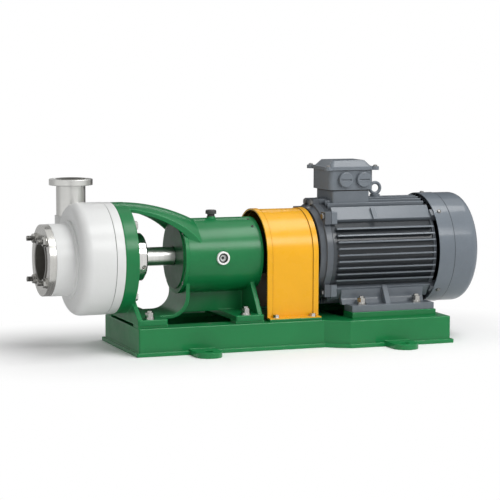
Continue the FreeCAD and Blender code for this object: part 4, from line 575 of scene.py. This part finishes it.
@dataclass(frozen=True)
class Clear(Finish):
    """Clear glass with faint waves."""

    refraction = 1.47
    opacity = 0.15
    wave_scale = 120.0
    wave_depth = 0.00001

    def surface(self, graph: Graph) -> Wiring:
        """See Finish.surface."""
        waves = graph.noise(graph.place(), self.wave_scale, 2.0, 0.5)
        return {"Base Color": colour(self.tint), "Roughness": self.roughness,
                "IOR": self.refraction, "Alpha": self.opacity, "Transmission Weight": 1.0,
                "Normal": self.relief(graph, waves, self.wave_depth)}


# The greens carry a stronger painted highlight on their edges.
GREEN_GLOSS = Enamel("green_gloss_enamel", Slot.GREEN_ENAMEL, "157A42", 0.35, edge=0.0014,
                     edge_highlight=0.6)
GREEN_CASTING = Enamel("green_casting_enamel", Slot.GREEN_ENAMEL, "127540", 0.35, coat=0.45,
                       coat_roughness=0.24, cast=0.00001, edge=0.0035, edge_highlight=0.5)
# The front and rear covers get painted shade on their faces, inside the rim.
GREEN_COVER = Enamel("green_cover_enamel", Slot.GREEN_ENAMEL, "157A42", 0.45, coat=0.3,
                     coat_roughness=0.25, painted_shade_span=("Round", 0.0744, 0.0752), painted_shade_share=0.42)
PEARL_WHITE = Enamel("pearl_white_enamel", Slot.WHITE_ENAMEL, "DEDFDE", 0.34, specular=0.3,
                     coat=0.15, coat_roughness=0.18, shade=0.03, edge=0.0015)
# The guard gets painted shade on its inside and along the creases of its two end bands.
GUARD_ENAMEL = Enamel("orange_guard_enamel", Slot.GUARD_ORANGE, "EDAC1A", 0.3, coat=0.4,
                      coat_roughness=0.24, shade=0.04, painted_shade_span=("Arch", 0.0997, 0.1001), painted_shade_share=0.2,
                      seams=(-0.0505, 0.049), painted_seam_shade=0.6)
MOTOR_ENAMEL = Enamel("grey_motor_enamel", Slot.MOTOR_GREY, "70777E", 0.38, coat=0.4,
                      coat_roughness=0.2, cast=0.00001, edge=0.0012)
# A darker copy of the motor enamel: painted shade on the end shields.
SHADED_SHIELD_ENAMEL = replace(MOTOR_ENAMEL, name="shaded_grey_shield_enamel", tint="5A5F65", roughness=0.4)
# The fins get painted shade in the gaps between them.
FIN_ENAMEL = replace(MOTOR_ENAMEL, name="grey_fin_enamel", tint="6E757C", coat=0.45,
                     coat_roughness=0.16, painted_shade_span=("Round", 0.112, 0.124))
# The fan cover's seam carries painted shade.
SHEET_ENAMEL = Enamel("grey_sheet_enamel", Slot.MOTOR_GREY, "6D757D", 0.34, coat=0.4,
                      coat_roughness=0.12, seams=(0.398,))
SIGHT_WHITE = Moulded("sight_white_plastic", Slot.WHITE_ENAMEL, "F2F2F0", 0.3, shade=0.03)
TURNED_STAINLESS = Turned("turned_stainless", Slot.STAINLESS, "C8C7C3", 0.22)
POLISHED_STAINLESS = Turned("polished_stainless", Slot.STAINLESS, "DAD9D6", 0.12,
                            density=2200.0, groove=0.000003)
PIPE_STAINLESS = Turned("pipe_stainless", Slot.STAINLESS, "CCCCC9", 0.34,
                        centre=(-0.470, 0.095, 0.0), turn=(0.0, math.pi / 2, 0.0),
                        density=300.0, groove=0.000002, dark=0.03)
SLEEVE_STAINLESS = Turned("sleeve_stainless", Slot.STAINLESS, "E0DFDC", 0.34, density=2200.0,
                          groove=0.000004)
BRIGHT_ZINC = Plated("bright_zinc", Slot.ZINC, "C9C8C4", 0.25, edge=0.0003)
SCREW_ZINC = Plated("screw_zinc", Slot.ZINC, "80807F", 0.36, edge=0.0002)
FOOT_ZINC = replace(SCREW_ZINC, name="foot_zinc", tint="B4B3AF", roughness=0.2)
STUD_ZINC = replace(SCREW_ZINC, name="stud_zinc", tint="8F8E8A", roughness=0.28)
GROUND_STEEL = Turned("ground_steel", Slot.STEEL, "B9BABC", 0.2, density=2600.0, groove=0.000003)
BALL_STEEL = Plated("ball_steel", Slot.STEEL, "C8C9CB", 0.1, scratch=0.000001)
DARK_IRON = Turned("machined_iron", Slot.DARK_IRON, "58595C", 0.38, density=900.0)
BLACK_PLASTIC = Moulded("black_plastic", Slot.BLACK_PLASTIC, "1C1C1C", 0.35)
FAN_PLASTIC = Moulded("fan_plastic", Slot.BLACK_PLASTIC, "232425", 0.5)
DARK_LINING = Moulded("filled_fluoroplastic", Slot.FLUOROPLASTIC, "5E5D57", 0.32, shade=0.1)
PLAIN_FLUOROPLASTIC = Moulded("plain_fluoroplastic", Slot.FLUOROPLASTIC, "E9E9E5", 0.42,
                              soft=0.15, shade=0.04)
RUBBER = Moulded("seal_rubber", Slot.RUBBER, "19191A", 0.6)
GASKET = Moulded("gasket_sheet", Slot.GASKET, "2B2B2C", 0.75, grain=0.00004)
ELASTOMER = Moulded("spider_elastomer", Slot.ELASTOMER, "9C2A20", 0.5)
CERAMIC = Moulded("seal_ceramic", Slot.CERAMIC, "E4E0D4", 0.18, coat=0.4, shade=0.03)
CARBON = Moulded("seal_carbon", Slot.CARBON, "26272A", 0.3)
LAMINATIONS = Stacked("core_laminations", Slot.LAMINATIONS, "6A6B6D", 0.45)
COPPER = Stacked("wound_copper", Slot.COPPER, "B4693C", 0.35, pitch=0.0011, depth=0.0003)
GLASS = Clear("sight_glass", Slot.GLASS, "E4EDEA", 0.03)


def linked(name: str, data: ID) -> Object:
    """Makes an object of its data and links it to the scene.

    Args:
        name: The object's name.
        data: Mesh, lamp or camera.

    Returns:
        The object.
    """
    made = bpy.data.objects.new(name, data)
    bpy.context.scene.collection.objects.link(made)
    return made


def finished(name: str, mesh: BMesh) -> Mesh:
    """Turns a mesh under work into mesh data and frees it.

    Args:
        name: The data's name.
        mesh: The mesh.

    Returns:
        The mesh data.
    """
    data = bpy.data.meshes.new(name)
    mesh.to_mesh(data)
    mesh.free()
    return data


def sheet(name: str, width: float, height: float, place: Matrix) -> Mesh:
    """Makes a flat rectangle.

    Args:
        name: The data's name.
        width: Its side along X.
        height: Its side along Y.
        place: Where it is brought.

    Returns:
        The mesh data.
    """
    mesh = bmesh.new()
    bmesh.ops.create_grid(mesh, x_segments=1, y_segments=1, size=0.5,
                          matrix=place @ Matrix.Diagonal((width, height, 1.0, 1.0)))
    return finished(name, mesh)


def put(name: str, mesh: BMesh, finish: Finish, replaces: Sequence[str] = ()) -> None:
    """Makes a finished piece of a mesh and hangs it on the body that stands still.

    Args:
        name: The piece's name.
        mesh: The mesh, which is freed.
        finish: Its finish.
        replaces: CAD nodes it stands for.
    """
    bmesh.ops.remove_doubles(mesh, verts=mesh.verts[:], dist=WELD)
    bmesh.ops.recalc_face_normals(mesh, faces=mesh.faces[:])
    data = finished(name, mesh)
    data.shade_smooth()
    data.set_sharp_from_angle(angle=SHARP_EDGE)
    data.materials.append(finish.material())
    piece = linked(name, data)
    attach(piece, STILL_BODY)
    if replaces:
        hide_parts(*replaces)
    LOG.info("%s: %d faces", name, len(data.polygons))


def along(point: Sequence[float], direction: Sequence[float]) -> Matrix:
    """Gives the matrix that brings the Z axis onto a direction at a point."""
    turn = Vector((0, 0, 1)).rotation_difference(Vector(direction)).to_matrix().to_4x4()
    return Matrix.Translation(Vector(point)) @ turn


def around_shaft(x: float, radius: float, angle: float) -> Vector:
    """Gives a point about the shaft, at an angle in degrees from +Y towards +Z."""
    a = math.radians(angle)
    return Vector((x, radius * math.cos(a), SHAFT_HEIGHT + radius * math.sin(a)))


def on_face(x: float, radius: float, way: int) -> Iterable[Matrix]:
    """Gives four places on a face across the shaft that looks along it, way 1, or back."""
    return [along(around_shaft(x, radius, angle), (way, 0, 0)) for angle in QUARTERS]


def on_shell(x: float, radius: float, angles: Iterable[float]) -> Iterable[Matrix]:
    """Gives places on a round shell about the shaft, facing out."""
    points = [around_shaft(x, radius, angle) for angle in angles]
    return [along(point, point - Vector((x, 0, SHAFT_HEIGHT))) for point in points]


def lathe(mesh: BMesh, profile: Sequence[Tuple[float, float]], steps: int = 48) -> None:
    """Turns a profile round Z and adds it to a mesh.

    Args:
        mesh: The mesh.
        profile: Corners as radius and height; it starts and ends on the axis or is closed.
        steps: Facets round the turn.
    """
    verts = [mesh.verts.new((radius, 0.0, height)) for radius, height in profile]
    edges = [mesh.edges.new(pair) for pair in zip(verts, verts[1:])]
    bmesh.ops.spin(mesh, geom=verts + edges, cent=(0, 0, 0), axis=(0, 0, 1), dvec=(0, 0, 0),
                   angle=2 * math.pi, steps=steps, use_merge=True, use_duplicate=False)
    bmesh.ops.remove_doubles(mesh, verts=mesh.verts[:], dist=WELD / 10)


def copies(part: BMesh, places: Iterable[Matrix]) -> BMesh:
    """Makes a mesh of placed copies of another one.

    Args:
        part: The mesh that is copied and then freed.
        places: Where the copies go.

    Returns:
        The mesh of copies.
    """
    made = bmesh.new()
    for place in places:
        data = bpy.data.meshes.new("part")
        part.to_mesh(data)
        data.transform(place)
        made.from_mesh(data)
        bpy.data.meshes.remove(data)
    part.free()
    return made


@dataclass(frozen=True)
class SocketScrew:
    """Cap screw with a hexagon socket.

    Attributes:
        head_r: Head radius.
        head: Head height.
        socket_r: Corner radius of the hexagon socket.
        socket: Depth of the socket.
        rim: Radius of the head's rounded rim.
    """

    head_r: float = 0.005
    head: float = 0.004
    socket_r: float = 0.0029
    socket: float = 0.0026
    rim: float = 0.0006

    def mesh(self) -> BMesh:
        """Makes the head, standing on the origin.

        Returns:
            The mesh.
        """
        mesh = bmesh.new()
        bmesh.ops.create_cone(mesh, cap_ends=True, segments=48, radius1=self.head_r,
                              radius2=self.head_r, depth=self.head,
                              matrix=Matrix.Translation((0, 0, self.head / 2)))
        rim = [e for e in mesh.edges if all(v.co.z > self.head / 2 for v in e.verts)]
        bmesh.ops.bevel(mesh, geom=rim, offset=self.rim, segments=3, profile=0.5,
                        affect="EDGES", material=-1)
        top = max(mesh.faces, key=lambda f: f.calc_center_median().z)
        bmesh.ops.inset_individual(mesh, faces=[top], depth=0.0,
                                   thickness=self.head_r - self.rim - self.socket_r)
        for vert in top.verts:
            angle = math.atan2(vert.co.y, vert.co.x) % (math.pi / 3) - math.pi / 6
            reach = self.socket_r * math.cos(math.pi / 6) / math.cos(angle)
            vert.co.xy = vert.co.xy.normalized() * reach
        floor = bmesh.ops.extrude_discrete_faces(mesh, faces=[top])["faces"]
        bmesh.ops.translate(mesh, vec=(0, 0, -self.socket), verts=list(floor[0].verts))
        return mesh


@dataclass(frozen=True)
class PanScrew:
    """Pan-head screw with a cross recess on a thin washer.

    Attributes:
        head_r: Head radius.
        head: Head height.
        washer_r: Washer radius.
        washer: Washer thickness.
    """

    head_r: float = 0.0048
    head: float = 0.003
    washer_r: float = 0.006
    washer: float = 0.001
    # Shares of the head's radius and height: its outline, then size and middle of the cross.
    dome = ((1.0, 0.4), (0.93, 0.7), (0.72, 0.92), (0.0, 1.0))
    cross = (1.1, 0.2, 0.2)
    cross_middle = 0.95

    def mesh(self) -> BMesh:
        """Makes the head and washer, standing on the origin.

        Returns:
            The mesh.
        """
        mesh = bmesh.new()
        base = self.washer
        outline = [(0, 0), (self.washer_r, 0), (self.washer_r, base), (self.head_r, base)]
        outline += [(self.head_r * out, base + self.head * up) for out, up in self.dome]
        lathe(mesh, outline, 32)
        length, width, height = self.cross
        size = Matrix.Diagonal((self.head_r * length, self.head_r * width, self.head * height, 1))
        lift = Matrix.Translation((0, 0, base + self.head * self.cross_middle))
        for turn in (0.0, math.pi / 2):
            bmesh.ops.create_cube(mesh, size=1.0,
                                  matrix=lift @ Matrix.Rotation(turn, 4, "Z") @ size)
        return mesh


@dataclass(frozen=True)
class Thread:
    """Threaded rod along Z with a real screw line.

    Attributes:
        radius: Outer radius.
        pitch: Rise of one turn.
        length: Length of the threaded part.
        steps: Facets of one turn.
    """

    radius: float = 0.006
    pitch: float = 0.00175
    length: float = 0.0119
    steps: int = 24
    # Shares of the pitch: depth, half the crest's width, and how far a flank reaches out.
    depth = 0.6
    crest = 0.06
    flank = 0.38

    def mesh(self) -> BMesh:
        """Makes the threaded part, from the origin up.

        Returns:
            The mesh.
        """
        mesh = bmesh.new()
        root = self.radius - self.pitch * self.depth
        half = [(self.radius, self.crest), (root, self.flank), (root, 0.5)]
        marks = [(radius, -height) for radius, height in reversed(half)] + half
        verts = [mesh.verts.new((r, 0.0, (h - 1.0) * self.pitch)) for r, h in marks]
        edges = [mesh.edges.new(pair) for pair in zip(verts, verts[1:])]
        turns = math.ceil(self.length / self.pitch) + 2
        bmesh.ops.spin(mesh, geom=verts + edges, cent=(0, 0, 0), axis=(0, 0, 1),
                       dvec=(0, 0, self.pitch / self.steps), angle=2 * math.pi * turns,
                       steps=self.steps * turns, use_merge=False, use_duplicate=False)
        bmesh.ops.remove_doubles(mesh, verts=mesh.verts[:], dist=WELD)
        for height, way in ((0.0, -1), (self.length, 1)):
            geometry = mesh.verts[:] + mesh.edges[:] + mesh.faces[:]
            cut = bmesh.ops.bisect_plane(mesh, geom=geometry, plane_co=(0, 0, height),
                                         plane_no=(0, 0, way), clear_outer=True)
            rim = [e for e in cut["geom_cut"] if isinstance(e, BMEdge)]
            bmesh.ops.contextual_create(mesh, geom=rim)
        return mesh


class SubAssembly:
    """A group of pieces that is built and then dressed.

    Its finishes stand in a table, each with the names of the CAD nodes that take it.
    """

    finishes: ClassVar[Mapping[Finish, str]] = {}

    def build(self) -> None:
        """Makes the new pieces."""

    def dress(self) -> None:
        """Gives every CAD node its finish."""
        for finish, names in self.finishes.items():
            for name in names.split():
                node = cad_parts[name]
                if not node.data.materials:
                    node.data.materials.append(None)
                for place in node.material_slots:
                    place.link = "OBJECT"
                    place.material = finish.material()
                LOG.info("%s: %s", name, finish.name)


@dataclass
class WetEnd(SubAssembly):
    """Casing, linings, suction flange with its studs, and discharge pipe.

    Attributes:
        stud_x: Outer end of the suction studs.
        stud_end_x: Their end in the casing.
        stud_circle_r: Radius of their circle.
        core_r: Their radius inside nut, flange and casing.
        thread: The thread they show.
    """

    stud_x: float = -0.5865
    stud_end_x: float = -0.5115
    stud_circle_r: float = 0.065
    core_r: float = 0.0054
    thread: Thread = Thread()
    finishes = {
        PEARL_WHITE: "pump_casing casing_cover",
        DARK_LINING: "casing_lining cover_lining",
        TURNED_STAINLESS: "suction_flange",
        PIPE_STAINLESS: "discharge_pipe",
        FOOT_ZINC: "suction_nuts",
        BRIGHT_ZINC: "casing_bolts",
        GASKET: "casing_gasket"}

    def build(self) -> None:
        """Makes the four studs, threaded where they stand out."""
        stud = self.thread.mesh()
        start, end = self.thread.length, self.stud_end_x - self.stud_x
        bmesh.ops.create_cone(stud, cap_ends=True, segments=32, radius1=self.core_r,
                              radius2=self.core_r, depth=end - start,
                              matrix=Matrix.Translation((0, 0, (start + end) / 2)))
        studs = copies(stud, on_face(self.stud_x, self.stud_circle_r, 1))
        put("suction_studs_threaded", studs, STUD_ZINC, replaces=["suction_studs"])


@dataclass
class SealAndRotor(SubAssembly):
    """Impeller, shaft, sleeve and mechanical seal."""

    finishes = {
        DARK_LINING: "impeller impeller_nut",
        PLAIN_FLUOROPLASTIC: "seal_bellows",
        GROUND_STEEL: "pump_shaft pump_shaft_keys",
        POLISHED_STAINLESS: "seal_gland",
        SLEEVE_STAINLESS: "shaft_sleeve",
        TURNED_STAINLESS: "seal_collar",
        BRIGHT_ZINC: "gland_bolts",
        CERAMIC: "seal_seat",
        CARBON: "seal_ring"}


@dataclass
class BearingUnit(SubAssembly):
    """Bearing frame with its covers, bearings, breather and oil sight.

    Attributes:
        front_face_x: Screw seats of the front cover.
        front_circle_r: Radius of their circle.
        rear_face_x: Face of the rear cover.
        rear_circle_r: Radius of its screw circle.
        housing_r: Radius at which the housing's set screws stand.
        set_screw_x: Place of the set screws.
        set_screw_angles: Their angles from +Y towards +Z, in degrees.
        sight: Middle of the oil sight's seat.
        screw: The cover screws.
        set_screw: The set screws.
        rings: Name, finish, inner and outer radius, back and front of each ring by the sight
            glass, counted from its seat.
    """

    front_face_x: float = -0.249
    front_circle_r: float = 0.0806
    rear_face_x: float = -0.0655
    rear_circle_r: float = 0.065
    housing_r: float = 0.0846
    set_screw_x: float = -0.082
    set_screw_angles: Tuple[float, ...] = (107.0, 128.0)
    sight: Place = (-0.165, -0.083, SHAFT_HEIGHT)
    screw: SocketScrew = SocketScrew()
    set_screw: SocketScrew = SocketScrew(0.0032, 0.0016, 0.0016, 0.0012)
    rings: Tuple[Tuple[str, Finish, float, float, float, float], ...] = (
        ("sight_gasket_ring", RUBBER, 0.0076, 0.0109, 0.00402, 0.0048),
        ("sight_reflector", SIGHT_WHITE, 0.0036, 0.0083, -0.0006, 0.0004),
        ("sight_backing", BLACK_PLASTIC, 0.0, 0.0083, -0.0035, -0.0025))
    finishes = {
        GREEN_CASTING: "bearing_frame",
        GREEN_COVER: "front_bearing_cover rear_bearing_cover",
        RUBBER: "lip_seals",
        GROUND_STEEL: "bearing_outer_rings pump_bearing_inner_rings",
        BALL_STEEL: "pump_bearing_balls",
        BLACK_PLASTIC: "breather",
        SIGHT_WHITE: "oil_sight_ring",
        GLASS: "oil_sight_window"}

    def build(self) -> None:
        """Makes the screws and the rings of the oil sight."""
        front = on_face(self.front_face_x, self.front_circle_r, -1)
        put("front_cover_screws", copies(self.screw.mesh(), front), BRIGHT_ZINC)
        rear = on_face(self.rear_face_x, self.rear_circle_r, 1)
        put("rear_cover_screws", copies(self.screw.mesh(), rear), BRIGHT_ZINC)
        shell = on_shell(self.set_screw_x, self.housing_r, self.set_screw_angles)
        put("housing_set_screws", copies(self.set_screw.mesh(), shell), BLACK_PLASTIC)
        for name, finish, inner, outer, low, high in self.rings:
            ring = bmesh.new()
            lathe(ring, [(inner, low), (outer, low), (outer, high), (inner, high), (inner, low)])
            put(name, copies(ring, [along(self.sight, (0, -1, 0))]), finish)


@dataclass
class Drive(SubAssembly):
    """Coupling and its guard."""

    finishes = {
        DARK_IRON: "pump_coupling_hub motor_coupling_hub",
        ELASTOMER: "coupling_spider",
        GUARD_ENAMEL: "coupling_guard",
        BRIGHT_ZINC: "guard_bolts"}


@dataclass
class Motor(SubAssembly):
    """Motor with its terminal box, fan cover and lifting eye.

    Attributes:
        lid_top: Top of the lid's flange.
        lid_screws_x: Places of the lid's screws along the shaft.
        lid_screws_y: Their distance from the middle.
        fan_screw_x: Place of the fan cover's screws.
        fan_screw_r: Radius at which they stand.
        fan_screw_angles: Their angles from +Y towards +Z, in degrees.
        screw: The screws of lid and fan cover.
    """

    lid_top: float = 0.407
    lid_screws_x: Tuple[float, float] = (0.106, 0.225)
    lid_screws_y: float = 0.053
    fan_screw_x: float = 0.3725
    fan_screw_r: float = 0.1304
    fan_screw_angles: Tuple[float, ...] = (45, 90, 135, 225, 270, 315)
    screw: PanScrew = PanScrew()
    finishes = {
        MOTOR_ENAMEL: "terminal_box terminal_box_lid cable_entry_plugs eye_bolt",
        SHADED_SHIELD_ENAMEL: "drive_shield rear_shield",
        FIN_ENAMEL: "motor_frame",
        SHEET_ENAMEL: "fan_cover",
        SCREW_ZINC: "shield_bolts",
        LAMINATIONS: "stator_core rotor_core",
        COPPER: "stator_windings",
        GROUND_STEEL: "motor_shaft motor_shaft_key motor_bearing_inner_rings",
        BALL_STEEL: "motor_bearing_balls",
        FAN_PLASTIC: "cooling_fan",
        GASKET: "terminal_gaskets",
        BLACK_PLASTIC: "terminal_board"}

    def build(self) -> None:
        """Makes the screws of the lid and of the fan cover."""
        lid = [along((x, y, self.lid_top), (0, 0, 1)) for x in self.lid_screws_x
               for y in (-self.lid_screws_y, self.lid_screws_y)]
        put("lid_screws", copies(self.screw.mesh(), lid), SCREW_ZINC)
        cover = on_shell(self.fan_screw_x, self.fan_screw_r, self.fan_screw_angles)
        put("fan_cover_screws", copies(self.screw.mesh(), cover), SCREW_ZINC)


@dataclass
class Base(SubAssembly):
    """Fabricated base with pads, rails and foot bolts."""

    finishes = {
        GREEN_GLOSS: "base_frame pump_pads motor_pads guard_rails",
        FOOT_ZINC: "foot_bolts"}


@dataclass(frozen=True)
class Lamp:
    """A soft rectangular lamp.

    Attributes:
        name: Its name.
        place: Where it stands.
        width: Its width.
        height: Its height.
        power: Its power in watts.
    """

    name: str
    place: Place
    width: float
    height: float
    power: float

    def light(self, target: Vector) -> None:
        """Makes the lamp and points it.

        Args:
            target: What it points at.
        """
        data = bpy.data.lights.new(self.name, "AREA")
        data.shape = "RECTANGLE"
        data.size, data.size_y, data.energy = self.width, self.height, self.power
        lamp = linked(self.name, data)
        lamp.location = self.place
        lamp.rotation_mode = "QUATERNION"
        lamp.rotation_quaternion = (target - lamp.location).to_track_quat("-Z", "Y")


@dataclass(frozen=True)
class Card:
    """A card beside the pump that only shows in reflections.

    Attributes:
        name: Its name.
        centre: Its middle.
        normal: Where it faces.
        width: Its width, level.
        height: Its other side.
        tone: Its brightness, where 1 is white.
    """

    name: str
    centre: Place
    normal: Place
    width: float
    height: float
    tone: float

    def stand(self) -> None:
        """Makes the card and hides it from all but glossy rays."""
        turn = Vector(self.normal).to_track_quat("Z", "Y").to_matrix().to_4x4()
        data = sheet(self.name, self.width, self.height, Matrix.Translation(self.centre) @ turn)
        data.materials.append(self.paper())
        card = linked(self.name, data)
        for rays in ("camera", "diffuse", "transmission", "shadow"):
            setattr(card, "visible_" + rays, False)

    def paper(self) -> Material:
        """Gives the card's paper.

        Returns:
            The material.
        """
        made = bpy.data.materials.new(self.name + "_paper")
        graph = Graph.blank(made)
        fibre = graph.noise(graph.place(), 40.0)
        tone = graph.mix(fibre, toned(WHITE, self.tone * 0.9), toned(WHITE, self.tone * 1.1))
        glow = graph.add("ShaderNodeEmission", {"Color": tone, "Strength": 1.0})
        graph.add("ShaderNodeOutputMaterial", {"Surface": glow.outputs[0]})
        return made


@dataclass
class Studio:
    """Pale floor, white surroundings, soft lamps and the camera.

    Attributes:
        level: Strength of the even light from all round.
        floor_side: The floor's side.
        floor_drop: How far the floor lies under the pump.
        floor_tone: How pale the floor is near the pump.
        footprint: Middle and half size of the pump's footprint, along X and Y.
        fade: Distances from it between which the floor turns white.
        aim: What the lamps point at.
        lamps: The soft lamps.
        cards: The cards that give paint and metal their contrast.
        camera_place: Where the camera stands.
        yaw: Its turn from +Y towards +X, in radians.
        pitch: Its dip below level, in radians.
        roll: Its roll, in radians.
        lens: Focal length in millimetres.
        sight_end: How far it sees.
    """

    level: float = 0.4
    floor_side: float = 60.0
    floor_drop: float = 0.0003
    floor_tone: float = 0.96
    footprint: Tuple[Tuple[float, float], ...] = ((-0.02, 0.45), (0.0, 0.1))
    fade: Tuple[float, float] = (0.05, 0.38)
    aim: Place = (-0.05, 0.0, 0.2)
    lamps: Tuple[Lamp, ...] = (
        Lamp("key", (1.0, -2.5, 1.9), 1.6, 0.9, 38.0),
        Lamp("top", (0.85, -0.6, 2.6), 2.3, 0.85, 36.0),
        Lamp("fill", (-2.2, -2.6, 1.3), 1.0, 1.4, 5.0))
    cards: Tuple[Card, ...] = (
        Card("back_card", (1.6, 0.8, 0.75), (0.0, -1.0, 0.0), 3.7, 1.5, 0.03),
        Card("side_card", (-1.65, 0.8, 0.75), (0.0, -1.0, 0.0), 2.8, 1.5, 0.6),
        Card("back_strip", (0.1, 0.72, 0.82), (0.0, -1.0, 0.0), 0.6, 0.1, 3.0),
        Card("front_card", (-2.1, -5.0, 0.7), (0.3, 1.0, 0.0), 1.6, 1.6, 0.35),
        Card("end_card", (-0.7, 0.4, 0.0005), (0.0, 0.0, 1.0), 0.62, 1.1, 0.3))
    camera_place: Place = (-1.6202, -4.0732, 0.6634)
    yaw: float = 0.364211
    pitch: float = 0.1025496
    roll: float = 0.00339
    lens: float = 135.92
    sight_end: float = 200.0

    def background_ray(self, graph: Graph) -> NodeSocket:
        """Gives one for camera, glossy and transmission rays, which see the background itself."""
        path = graph.add("ShaderNodeLightPath").outputs
        return graph.calc("MAXIMUM", path["Is Transmission Ray"], graph.calc(
            "MAXIMUM", path["Is Camera Ray"], path["Is Glossy Ray"]))

    def world(self) -> None:
        """Makes even surroundings that are seen as white."""
        world = bpy.data.worlds.new("studio")
        graph = Graph.blank(world)
        even, white = [graph.add("ShaderNodeBackground", {"Color": WHITE, "Strength": strength})
                       for strength in (self.level, 1.0)]
        both = graph.add("ShaderNodeMixShader", (self.background_ray(graph), even.outputs[0],
                                                 white.outputs[0]))
        graph.add("ShaderNodeOutputWorld", {"Surface": both.outputs[0]})
        bpy.context.scene.world = world

    def floor(self) -> None:
        """Makes the floor, which turns to plain white away from the pump."""
        data = sheet("floor", self.floor_side, self.floor_side, Matrix.Identity(4))
        plate = linked("floor", data)
        plate.location.z = -self.floor_drop
        paper = bpy.data.materials.new("floor_paper")
        graph = Graph.blank(paper)
        near = graph.add("ShaderNodeBsdfPrincipled", {"Base Color": toned(WHITE, self.floor_tone),
                                                      "Roughness": 0.6, "Specular IOR Level": 0.2})
        far = graph.add("ShaderNodeEmission", {"Color": WHITE, "Strength": 1.0})
        fade = graph.span(self.reach(graph), *self.fade)
        seen = graph.calc("MULTIPLY", fade, self.background_ray(graph))
        both = graph.add("ShaderNodeMixShader", (seen, near.outputs[0], far.outputs[0]))
        graph.add("ShaderNodeOutputMaterial", {"Surface": both.outputs[0]})
        data.materials.append(paper)

    def reach(self, graph: Graph) -> NodeSocket:
        """Measures how far a point of the floor is from the pump's footprint.

        Args:
            graph: The tree.

        Returns:
            The distance in metres.
        """
        sides = []
        for part, (middle, half) in zip(graph.parts(graph.place()), self.footprint):
            away = graph.calc("ABSOLUTE", graph.calc("SUBTRACT", part, middle))
            sides.append(graph.calc("MAXIMUM", graph.calc("SUBTRACT", away, half), 0.0))
        return graph.hypot(*sides)

    def camera(self) -> None:
        """Makes the camera at the photograph's angle."""
        dip = math.cos(self.pitch)
        ahead = Vector((math.sin(self.yaw) * dip, math.cos(self.yaw) * dip, -math.sin(self.pitch)))
        level = Vector((math.cos(self.yaw), -math.sin(self.yaw), 0.0))
        above = level.cross(ahead)
        right = level * math.cos(self.roll) + above * math.sin(self.roll)
        up = above * math.cos(self.roll) - level * math.sin(self.roll)
        data = bpy.data.cameras.new("camera")
        data.lens = self.lens
        data.clip_end = self.sight_end
        camera = linked("camera", data)
        turn = Matrix((right, up, -ahead)).transposed().to_4x4()
        camera.matrix_world = Matrix.Translation(Vector(self.camera_place)) @ turn
        bpy.context.scene.camera = camera

    def build(self) -> None:
        """Sets up the whole studio."""
        bpy.context.scene.view_settings.view_transform = "Standard"
        self.world()
        self.floor()
        for lamp in self.lamps:
            lamp.light(Vector(self.aim))
        for card in self.cards:
            card.stand()
        self.camera()


def main() -> None:
    """Builds and dresses every sub-assembly, then the studio."""
    logging.basicConfig(level=logging.INFO, format="%(message)s")
    for assembly in (Base(), WetEnd(), SealAndRotor(), BearingUnit(), Drive(), Motor()):
        assembly.build()
        assembly.dress()
        LOG.info("%s done", type(assembly).__name__)
    Studio().build()


if __name__ == "__main__":
    main()
